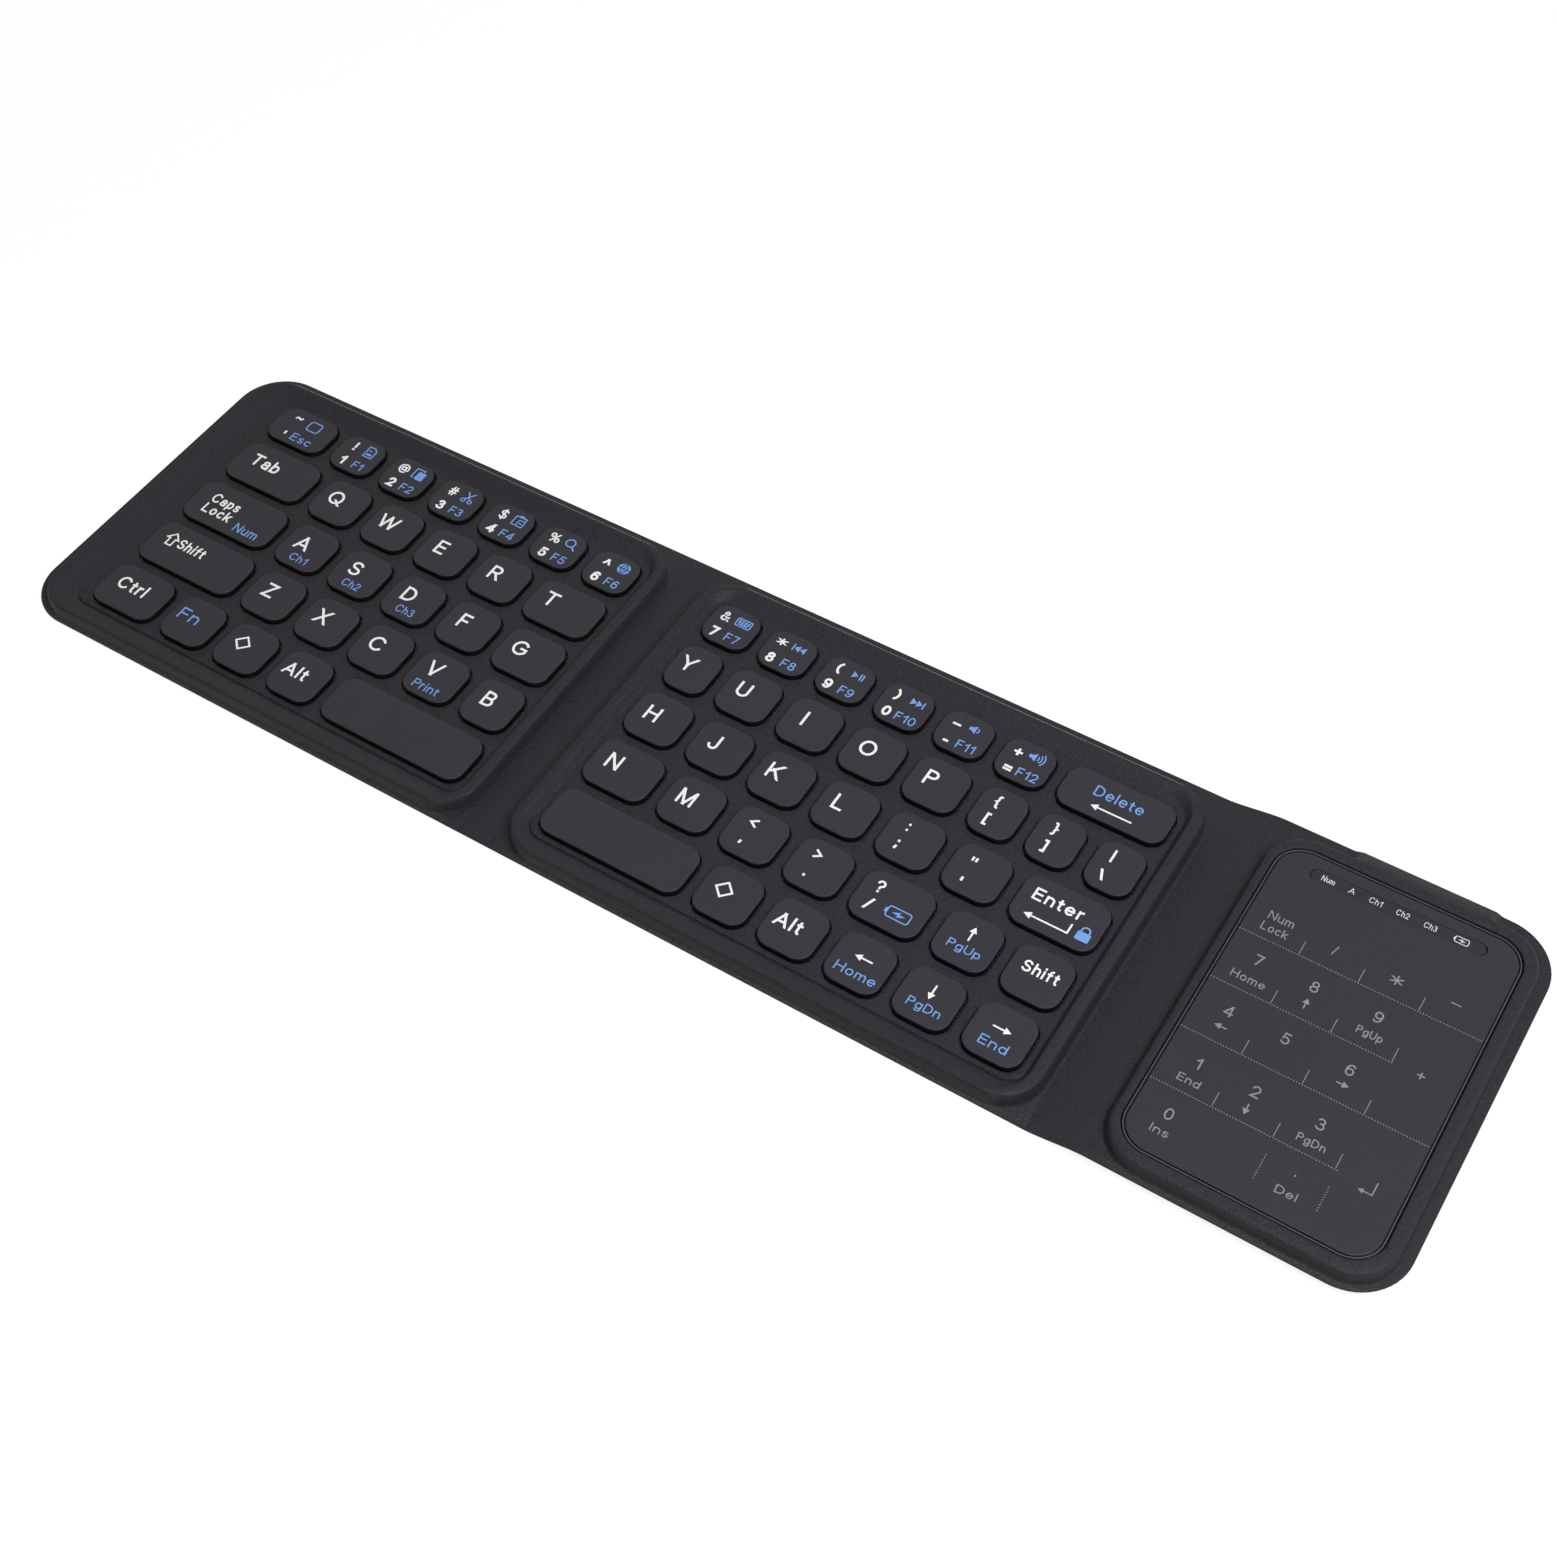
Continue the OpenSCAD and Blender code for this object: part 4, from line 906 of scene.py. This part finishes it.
class Ink:
    """Marks of one colour on a level surface. Places are in millimetres from an origin that can be moved."""

    def __init__(self, level):
        self.bm = bmesh.new()
        self.level, self.step = level, 0
        self.x = self.y = 0.0

    def word(self, text, x, y, cap, width=None, weight=0.6, centred=False):
        """A word whose capitals are cap high and centred on y, or with all of it centred there."""
        unit, n = cap - weight, len(text)
        natural = sum(GLYPHS[c][0] for c in text) * unit + LETTER_GAP * cap * (n - 1)
        stretch = (width - weight * n) / natural if width else 1.0
        left = x - (natural * stretch + weight * n) / 2 + weight / 2
        heights = [q for c in text for points in GLYPHS[c][1:] for _, q in points]
        low = y - unit * ((max(heights) + min(heights)) / 2 if centred else 0.5)
        for c in text:
            for points in GLYPHS[c][1:]:
                self.stroke([(left + p * unit * stretch, low + q * unit) for p, q in points], weight)
            left += (GLYPHS[c][0] * unit + LETTER_GAP * cap) * stretch + weight

    def stroke(self, points, weight):
        """One stroke of a letter: a closed one, a long slanting one with level ends, or one with square ends."""
        first, last = Vector(points[0]), Vector(points[-1])
        run, rise = last - first
        if (last - first).length < SAME_POINT:
            self.line(points, weight, closed=True)
        elif len(points) == 2 and abs(run) > 0.08 * abs(rise) and abs(rise) > 1.6 * weight:
            half = weight / 2 * math.hypot(run, rise) / abs(rise)
            over = math.copysign(weight / 2, rise)
            lean = run / rise
            self.patch([(q.x + side * half + lean * up, q.y + up) for q, side, up in
                        ((first, -1, -over), (first, 1, -over), (last, 1, over), (last, -1, over))])
        else:
            first += (first - Vector(points[1])).normalized() * weight / 2
            last += (last - Vector(points[-2])).normalized() * weight / 2
            self.line([first, *points[1:-1], last], weight)

    def place(self, points):
        """The lower and upper vertices of a mark. Each mark has its own tiny height, so that no two crossing
        marks have their tops in one plane."""
        self.step = (self.step + 1) % INK_STEPS
        lift = INK_STEP * self.step
        return [[self.bm.verts.new((self.x + x, self.y + y, z)) for x, y in points]
                for z in (self.level - INK_DEPTH - lift, self.level + INK_T + lift)]

    def patch(self, points):
        """A filled outline."""
        low, high = self.place(points)
        self.bm.faces.new(low[::-1])
        self.bm.faces.new(high)
        for i in range(len(low)):
            self.bm.faces.new((low[i - 1], low[i], high[i], high[i - 1]))

    def line(self, points, width, closed=False):
        """A line of even width with mitred corners."""
        points = [Vector(p) for p in points]
        if closed and (points[-1] - points[0]).length < SAME_POINT:
            points.pop()
        n = len(points)
        sides = []
        for i, p in enumerate(points):
            before = (p - points[i - 1]).normalized() if closed or i else None
            after = (points[(i + 1) % n] - p).normalized() if closed or i < n - 1 else None
            way = ((before or after) + (after or before)).normalized()
            across = Vector((-way.y, way.x))
            lean = abs(across.dot(Vector((-(after or before).y, (after or before).x))))
            reach = across * (width / 2 / max(lean, 0.4))
            sides += [p + reach, p - reach]
        low, high = self.place(sides)
        rows = [(low[i], low[i + 1], high[i + 1], high[i]) for i in range(0, 2 * n, 2)]
        for a, b in zip(rows, rows[1:] + rows[:closed]):
            for k in range(4):
                self.bm.faces.new((a[k], a[(k + 1) % 4], b[(k + 1) % 4], b[k]))
        if not closed:
            self.bm.faces.new(rows[0])
            self.bm.faces.new(rows[-1][::-1])

    def sign(self, name, x, y):
        for mark in SIGNS[name].split(" / "):
            kind, text = mark.split(maxsplit=1)
            points = [(x + p, y + q) for p, q in path(text)]
            if kind == "fill":
                self.patch(points)
            else:
                self.line(points, float(kind.strip("o")), closed=kind[0] == "o")

    def arrow(self, x, y, length, angle, width, head):
        """An arrow of a given length, centred on x, y."""
        a = math.radians(angle)
        way, across = Vector((math.cos(a), math.sin(a))), Vector((-math.sin(a), math.cos(a)))
        tip, tail = Vector((x, y)) + way * length / 2, Vector((x, y)) - way * length / 2
        neck = tip - way * head * 0.9
        self.line([tail, neck], width)
        self.patch([tip, neck + across * head * 0.5, neck - across * head * 0.5])

    def battery(self, x, y, w, d, width):
        self.line(rectangle(x + 0.04 * w, y, 0.88 * w, d, 0.22 * d), width, closed=True)
        self.patch(rectangle(x - 0.46 * w, y, 0.07 * w, 0.42 * d))
        self.patch([(x + p * w, y + q * d) for p, q in path("-.22,-.02 .1,.3 .05,.06 .3,.02 -.02,-.3 .03,-.06")])

    def done(self, name, body, material, slot):
        bmesh.ops.triangulate(self.bm, faces=[f for f in self.bm.faces if len(f.verts) > 4])
        dress(finished(name, self.bm, 30), body, material, slot)


# What is printed on a key, as a list of marks: colour, what draws it, and what that is given. Places are from
# the key's front left corner

def white(text, x, y, cap, width):
    return [("white", Ink.word, text, x, y, cap, width, 0.155 * cap)]


def blue(text, x, y, cap, width):
    return [("blue", Ink.word, text, x, y, cap, width, 0.125 * cap)]


def sign(colour, name, x, y):
    return [(colour, Ink.sign, name, x, y)]


def letter(text, x=5.35, y=8.2):
    return [("white", Ink.word, text, x, y, 4.5, None, 0.64)]


def number(symbol, digit, label, name, sx=3.8, fx=8.85, symbol_y=8.8, digit_y=3.25):
    return [("white", Ink.word, symbol, sx, symbol_y, 3.1, None, 0.44 if symbol in "@#$%&*" else 0.6, True),
            ("white", Ink.word, digit, sx, digit_y, 3.1, None, 0.64, not digit.isdigit()),
            ("blue", Ink.sign, name, fx, 8.8), ("blue", Ink.word, label, fx, 3.2, 2.6, None, 0.34)]


def pair(high, low, x, high_y, low_y=4.3, cap=3.3):
    return [("white", Ink.word, high, x, high_y, cap, None, 0.52, True),
            ("white", Ink.word, low, x, low_y, cap, None, 0.58, True)]


def arrow_key(x, y, length, angle, *label):
    return [("white", Ink.arrow, x, y, length, angle, 0.42, 1.8)] + blue(*label)


MARKS = {
    ("left", 0): [white("Ctrl", 8.5, 8.3, 3.9, 8.8), blue("Fn", 5.3, 8.15, 3.6, 6.1),
                  sign("white", "diamond", 5.4, 8.2), white("Alt", 5.5, 8.0, 3.8, 6.7), []],
    ("left", 1): [sign("white", "shift", 6.1, 8.8) + white("Shift", 12.7, 8.8, 3.2, 8.4), *map(letter, "ZXC"),
                  letter("V", 5.35, 9.0) + blue("Print", 7.0, 3.3, 2.6, 7.3), letter("B", 5.3)],
    ("left", 2): [white("Caps", 9.6, 9.1, 3.2, 8.9) + white("Lock", 9.7, 5.2, 3.2, 8.9)
                  + blue("Num", 20.5, 3.7, 2.9, 7.3),
                  *[letter(c) + blue(f"Ch{n}", 7.6, 3.3, 2.4, 5.2) for n, c in enumerate("ASD", 1)],
                  *map(letter, "FG")],
    ("left", 3): [white("Tab", 9.2, 8.45, 4.0, 8.85), *map(letter, "QWERT")],
    ("left", 4): [pair("~", "'", 5.8, 9.4, 3.4, 3.4) + blue("Esc", 11.3, 3.2, 2.7, 6.4)
                  + sign("blue", "square", 11.5, 8.6),
                  *[number(symbol, str(n), f"F{n}", name, 4.25, 9.1) for n, symbol, name in zip(
                      range(1, 7), "!@#$%^", ("page", "copy", "scissors", "paste", "search", "globe"))]],
    ("middle", 0): [[], sign("white", "diamond", 5.7, 8.0), white("Alt", 5.65, 8.0, 3.8, 6.7),
                    arrow_key(7.4, 8.4, 4.4, 180, "Home", 7.7, 4.25, 2.5, 10.0),
                    arrow_key(7.2, 8.8, 4.0, -90, "PgDn", 7.4, 4.6, 2.3, 8.0),
                    arrow_key(7.2, 8.4, 4.4, 0, "End", 7.3, 4.3, 2.5, 6.7)],
    ("middle", 1): [letter("N", 5.85), letter("M"), pair("<", ",", 5.3, 10.1, 4.0), pair(">", ".", 5.4, 10.1, 3.7),
                    pair("?", "/", 4.65, 9.8, 4.6, 3.4) + [("blue", Ink.battery, 11.6, 5.2, 6.4, 2.9, 0.32)],
                    arrow_key(7.2, 9.3, 4.0, 90, "PgUp", 7.5, 5.1, 2.3, 8.0), white("Shift", 7.5, 8.4, 3.1, 8.6)],
    ("middle", 2): [letter("H", 5.5, 7.85), letter("J", 5.2), letter("K", 4.8), letter("L", 5.1),
                    pair(":", ";", 5.05, 10.2, 4.8, 3.5), pair('"', "'", 5.1, 10.2, 4.1, 3.5),
                    white("Enter", 9.6, 9.2, 3.4, 12.2) + sign("white", "enter", 0, 0)
                    + sign("blue", "lock", 17.9, 4.9)],
    ("middle", 3): [letter("Y", 4.2), letter("U", 5.3), letter("I", 5.3), letter("O", 5.5), letter("P", 5.3),
                    pair("{", "[", 4.6, 10.0, 4.5, 3.1), pair("}", "]", 4.6, 10.0, 4.6, 3.1),
                    pair("|", "\\", 4.3, 10.0, 4.2, 3.0)],
    ("middle", 4): [number("&", "7", "F7", "keyboard"), number("*", "8", "F8", "previous"),
                    number("(", "9", "F9", "pause"), number(")", "0", "F10", "next"),
                    number("_", "-", "F11", "quiet", 3.9, 8.85, 8.2, 2.6),
                    number("+", "=", "F12", "loud", 3.95, 8.85, 8.3, 2.9),
                    blue("Delete", 14.0, 7.7, 3.1, 12.2) + [("white", Ink.arrow, 14.0, 3.3, 10.2, 180, 0.42, 1.9)]],
}


def build_key_print():
    for node in KEY_NODES:
        inks = {"white": Ink(KEY_TOP_Z), "blue": Ink(KEY_TOP_Z)}
        for side, row, i, box in key_boxes(node):
            for ink in inks.values():
                ink.x, ink.y = box[0], box[2]
            for colour, draw, *given in MARKS[side, row][i]:
                draw(inks[colour], *given)
        for (colour, ink), material in zip(inks.items(), (WHITE_INK, BLUE_INK)):
            if ink.bm.verts:
                ink.done(f"{node}_{colour}_print", node, material, "keycap")
            else:
                ink.bm.free()


# ---- touch pad ----

WINDOW_R, WINDOW_Z = 1.6, 5.6
PAD_STEPS = 12
PAD_EDGE = [(0.6, PAD_UNDER_Z), (0.05, PAD_UNDER_Z), (0.0, 4.95), (0.0, 5.56), (0.03, 5.64), (0.1, 5.69),
            (0.2, PAD_Z), (0.8, PAD_Z)]
WINDOW_LIP = [(0.35, PAD_Z), (0.12, PAD_Z), (0.04, 5.68), (0.0, 5.62), (0.0, PAD_UNDER_Z)]
LENS_EDGE = [(0.05, PAD_UNDER_Z), (0.05, 5.52), (0.09, 5.58), (0.2, WINDOW_Z), (0.5, WINDOW_Z)]
LENS_IN = (0.22, 0.22, 0, 0)


def build_pad():
    bm = bmesh.new()
    outer = loft(bm, rings_round(PAD, PAD_R, PAD_EDGE, PAD_STEPS))
    hole = loft(bm, rings_round(WINDOW, WINDOW_R, WINDOW_LIP, out=True))
    fill(bm, outer[0], hole[-1])
    fill(bm, outer[-1], hole[0])
    dress(finished("touch_pad_surface", bm), "touch_panel", PAD_GLASS, "pad", ("touch_pad_plate",))

    bm = bmesh.new()
    reach = TRIM_GAP + TRIM_W
    middle = TRIM_GAP + TRIM_W / 2
    profile = [(reach, PAD_UNDER_Z), (reach, 5.05), (middle + 0.18, 5.1), (middle + 0.17, 5.52),
               (middle + 0.12, TRIM_Z), (middle - 0.12, TRIM_Z), (middle - 0.17, 5.52), (middle - 0.18, 5.1),
               (TRIM_GAP, 5.05), (TRIM_GAP, PAD_UNDER_Z)]
    loops = loft(bm, rings_round(PAD, PAD_R, profile, PAD_STEPS, out=True))
    loft(bm, [loops[-1], loops[0]])
    dress(finished("touch_pad_frame", bm), "touch_panel", TRIM_PLASTIC, "trim", ("touch_pad_trim",))

    bm = bmesh.new()
    solid(bm, rings_round(moved_in(WINDOW, LENS_IN), WINDOW_R, LENS_EDGE))
    dress(finished("indicator_lens", bm), "touch_panel", LENS, "window", ("indicator_window",))


PAD_WORDS = [
    ("Num", 127.1, 22.2, 2.25, 5.8), ("Lock", 126.9, 18.85, 2.25, 6.0), ("7", 127.3, 9.9, 2.9, None),
    ("Home", 127.3, 4.45, 2.1, 7.7), ("8", 140.1, 9.9, 2.9, None), ("9", 154.4, 9.9, 2.9, None),
    ("PgUp", 154.4, 5.15, 2.0, 5.7), ("4", 127.3, -5.0, 2.9, None), ("5", 140.1, -5.0, 2.9, None),
    ("6", 154.4, -5.0, 2.9, None), ("1", 127.3, -19.9, 2.9, None), ("End", 127.3, -24.6, 2.0, 5.0),
    ("2", 140.1, -19.9, 2.9, None), ("3", 154.4, -19.9, 2.9, None), ("PgDn", 154.4, -24.7, 2.0, 6.2),
    ("0", 127.3, -33.9, 2.9, None), ("Ins", 127.3, -38.3, 2.0, 4.0), ("Del", 154.7, -37.8, 2.0, 4.6),
]
# Dotted lines as start, end; the ticks stand on the level ones
PAD_LEFT, PAD_ROWS = 120.3, (15.6, 1.12, -13.36, -27.84)
PAD_LINES = [*[((PAD_LEFT, y), (x, y)) for x, y in zip((174.6, 160.9, 174.6, 161.3), PAD_ROWS)],
             *[((x, -38.1), (x, -32.1)) for x in (147.8, 161.4)]]
TICKS = [(x, y) for y in PAD_ROWS for x in (133.8, 147.3, 160.8)]
LAMP_Y = 37.15


def build_pad_print():
    grey = Ink(PAD_Z)
    for text, x, y, cap, width in PAD_WORDS:
        grey.word(text, x, y, cap, width, weight=0.36 if cap > 2.5 else 0.27)
    for text, x, y, cap in (("*", 154.1, 20.5, 3.6), ("+", 167.2, 1.3, 2.6), (".", 154.7, -33.4, 3.4)):
        grey.word(text, x, y, cap, weight=0.34, centred=True)
    grey.line([(139.7, 19.45), (140.4, 22.0)], 0.28)
    grey.line([(165.8, 21.35), (168.0, 21.35)], 0.28)
    for x, y, angle in ((140.1, 5.15, 90), (127.3, -9.35, 180), (154.4, -9.0, 0), (140.1, -24.6, -90)):
        grey.arrow(x, y, 2.8, angle, 0.32, 1.6)
    grey.line([(169.3, -26.2), (169.3, -29.4), (167.4, -29.4)], 0.26)
    grey.patch([(166.3, -29.4), (167.4, -28.8), (167.4, -30.0)])
    for x, y in TICKS:
        grey.line([(x, y + 0.3), (x, y + 4.0)], 0.16)
    grey.done("touch_pad_print", "touch_panel", GREY_INK, "pad")

    lit = Ink(WINDOW_Z)
    for text, x, width in (("Num", 131.5, 3.0), ("A", 137.0, None), ("Ch1", 142.5, 2.9), ("Ch2", 148.7, 2.9),
                           ("Ch3", 155.0, 2.9)):
        lit.word(text, x, LAMP_Y, 1.55, width, weight=0.17)
    lit.battery(161.9, LAMP_Y, 3.4, 1.6, 0.2)
    lit.done("indicator_marks", "touch_panel", LIT_MARK, "window")


def dotted_tree():
    """Geometry nodes: dots at an even pitch along every edge of a mesh of lines."""
    tree = bpy.data.node_groups.new("dotted_lines", "GeometryNodeTree")
    tree.interface.new_socket("Geometry", in_out="INPUT", socket_type="NodeSocketGeometry")
    for name, value in (("Pitch", 0.63 * MM), ("Dot radius", 0.14 * MM), ("Dot height", 0.03 * MM)):
        tree.interface.new_socket(name, in_out="INPUT", socket_type="NodeSocketFloat").default_value = value
    tree.interface.new_socket("Ink", in_out="INPUT", socket_type="NodeSocketMaterial")
    tree.interface.new_socket("Geometry", in_out="OUTPUT", socket_type="NodeSocketGeometry")
    given = tree.nodes.new("NodeGroupInput").outputs
    out = tree.nodes.new("NodeGroupOutput").inputs
    t = Tree(tree)
    lines = t.add("GeometryNodeMeshToCurve", Mesh=given["Geometry"]).outputs[0]
    points = t.add("GeometryNodeCurveToPoints", {"mode": "LENGTH"}, Curve=lines, Length=given["Pitch"]).outputs[0]
    dot = t.add("GeometryNodeMeshCylinder", Vertices=8, Radius=given["Dot radius"], Depth=given["Dot height"])
    dots = t.add("GeometryNodeInstanceOnPoints", Points=points, Instance=dot.outputs["Mesh"]).outputs[0]
    solid = t.add("GeometryNodeRealizeInstances", Geometry=dots).outputs[0]
    t.put(out["Geometry"], t.add("GeometryNodeSetMaterial", Geometry=solid, Material=given["Ink"]).outputs[0])
    return tree


def build_dotted_lines():
    name = "touch_pad_dotted_lines"
    mesh = bpy.data.meshes.new(name)
    level = (PAD_Z + 0.005) * MM
    spots = [(x * MM, y * MM, level) for line in PAD_LINES for x, y in line]
    mesh.from_pydata(spots, [(i, i + 1) for i in range(0, len(spots), 2)], [])
    piece = placed(name, mesh)
    dots = piece.modifiers.new("dots", "NODES")
    dots.node_group = dotted_tree()
    for item in dots.node_group.interface.items_tree:
        if item.name == "Ink" and item.in_out == "INPUT":
            dots[item.identifier] = GREY_INK
    apply_modifiers(piece)
    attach(piece, "touch_panel")


# ---- stage ----

FLOOR_HALF, FLOOR_Z = 4.0, -2e-5
FLOOR_GREY, FLOOR_GLOW = 120, 0.86
WORLD_LIGHT, WORLD_SEEN, WORLD_GLOSS = 0.3, 0.7, 0.3
LIGHTS = (("softbox_right", (0.5, -0.15, 0.8), 0.6, 7.6), ("softbox_back", (-1.2, 2.3, 1.0), 1.2, 5.0))


def build_stage():
    mesh = bpy.data.meshes.new("floor")
    mesh.from_pydata([(x * FLOOR_HALF, y * FLOOR_HALF, FLOOR_Z) for x, y in ((-1, -1), (1, -1), (1, 1), (-1, 1))],
                     [], [(0, 1, 2, 3)])
    floor = placed("floor", mesh)
    material = bpy.data.materials.new("pale_floor")
    material.use_nodes = True
    t = Tree(material.node_tree)
    shader = material.node_tree.nodes["Principled BSDF"]
    rays = t.add("ShaderNodeLightPath").outputs
    seen = t.math("MAXIMUM", t.math("MAXIMUM", rays["Is Camera Ray"], rays["Is Glossy Ray"]),
                  rays["Is Transmission Ray"])
    for label, value in (("Base Color", linear(*[FLOOR_GREY] * 3)), ("Roughness", 0.8), ("Specular IOR Level", 0.1),
                         ("Emission Color", (1, 1, 1, 1)),
                         ("Emission Strength", t.math("MULTIPLY", seen, FLOOR_GLOW))):
        t.put(shader.inputs[label], value)
    mesh.materials.append(material)

    world = bpy.data.worlds.new("studio")
    bpy.context.scene.world = world
    world.use_nodes = True
    t = Tree(world.node_tree)
    back = world.node_tree.nodes["Background"]
    rays = t.add("ShaderNodeLightPath").outputs
    seen = t.math("MAXIMUM", rays["Is Camera Ray"], t.math("MULTIPLY", rays["Is Glossy Ray"], WORLD_GLOSS))
    t.put(back.inputs["Color"], (1, 1, 1, 1))
    t.put(back.inputs["Strength"], t.math("ADD", t.math("MULTIPLY", seen, WORLD_SEEN), WORLD_LIGHT))

    for name, place, size, power in LIGHTS:
        data = bpy.data.lights.new(name, "AREA")
        data.shape, data.size, data.energy = "SQUARE", size, power
        lamp = placed(name, data)
        lamp.location = place
        lamp.rotation_euler = (-Vector(place)).to_track_quat("-Z", "Y").to_euler()

    bpy.context.scene.view_settings.view_transform = "Standard"


def finish_cad_nodes():
    for names, material in CAD_FINISHES.items():
        for name in names.split():
            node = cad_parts[name]
            if not node.material_slots:
                node.data.materials.append(material)
            for slot in node.material_slots:
                slot.material = material


build_panels()
build_spines()
build_keycaps()
build_key_springs()
build_key_print()
build_pad()
build_pad_print()
build_dotted_lines()
finish_cad_nodes()
build_stage()

bpy.context.view_layer.update()
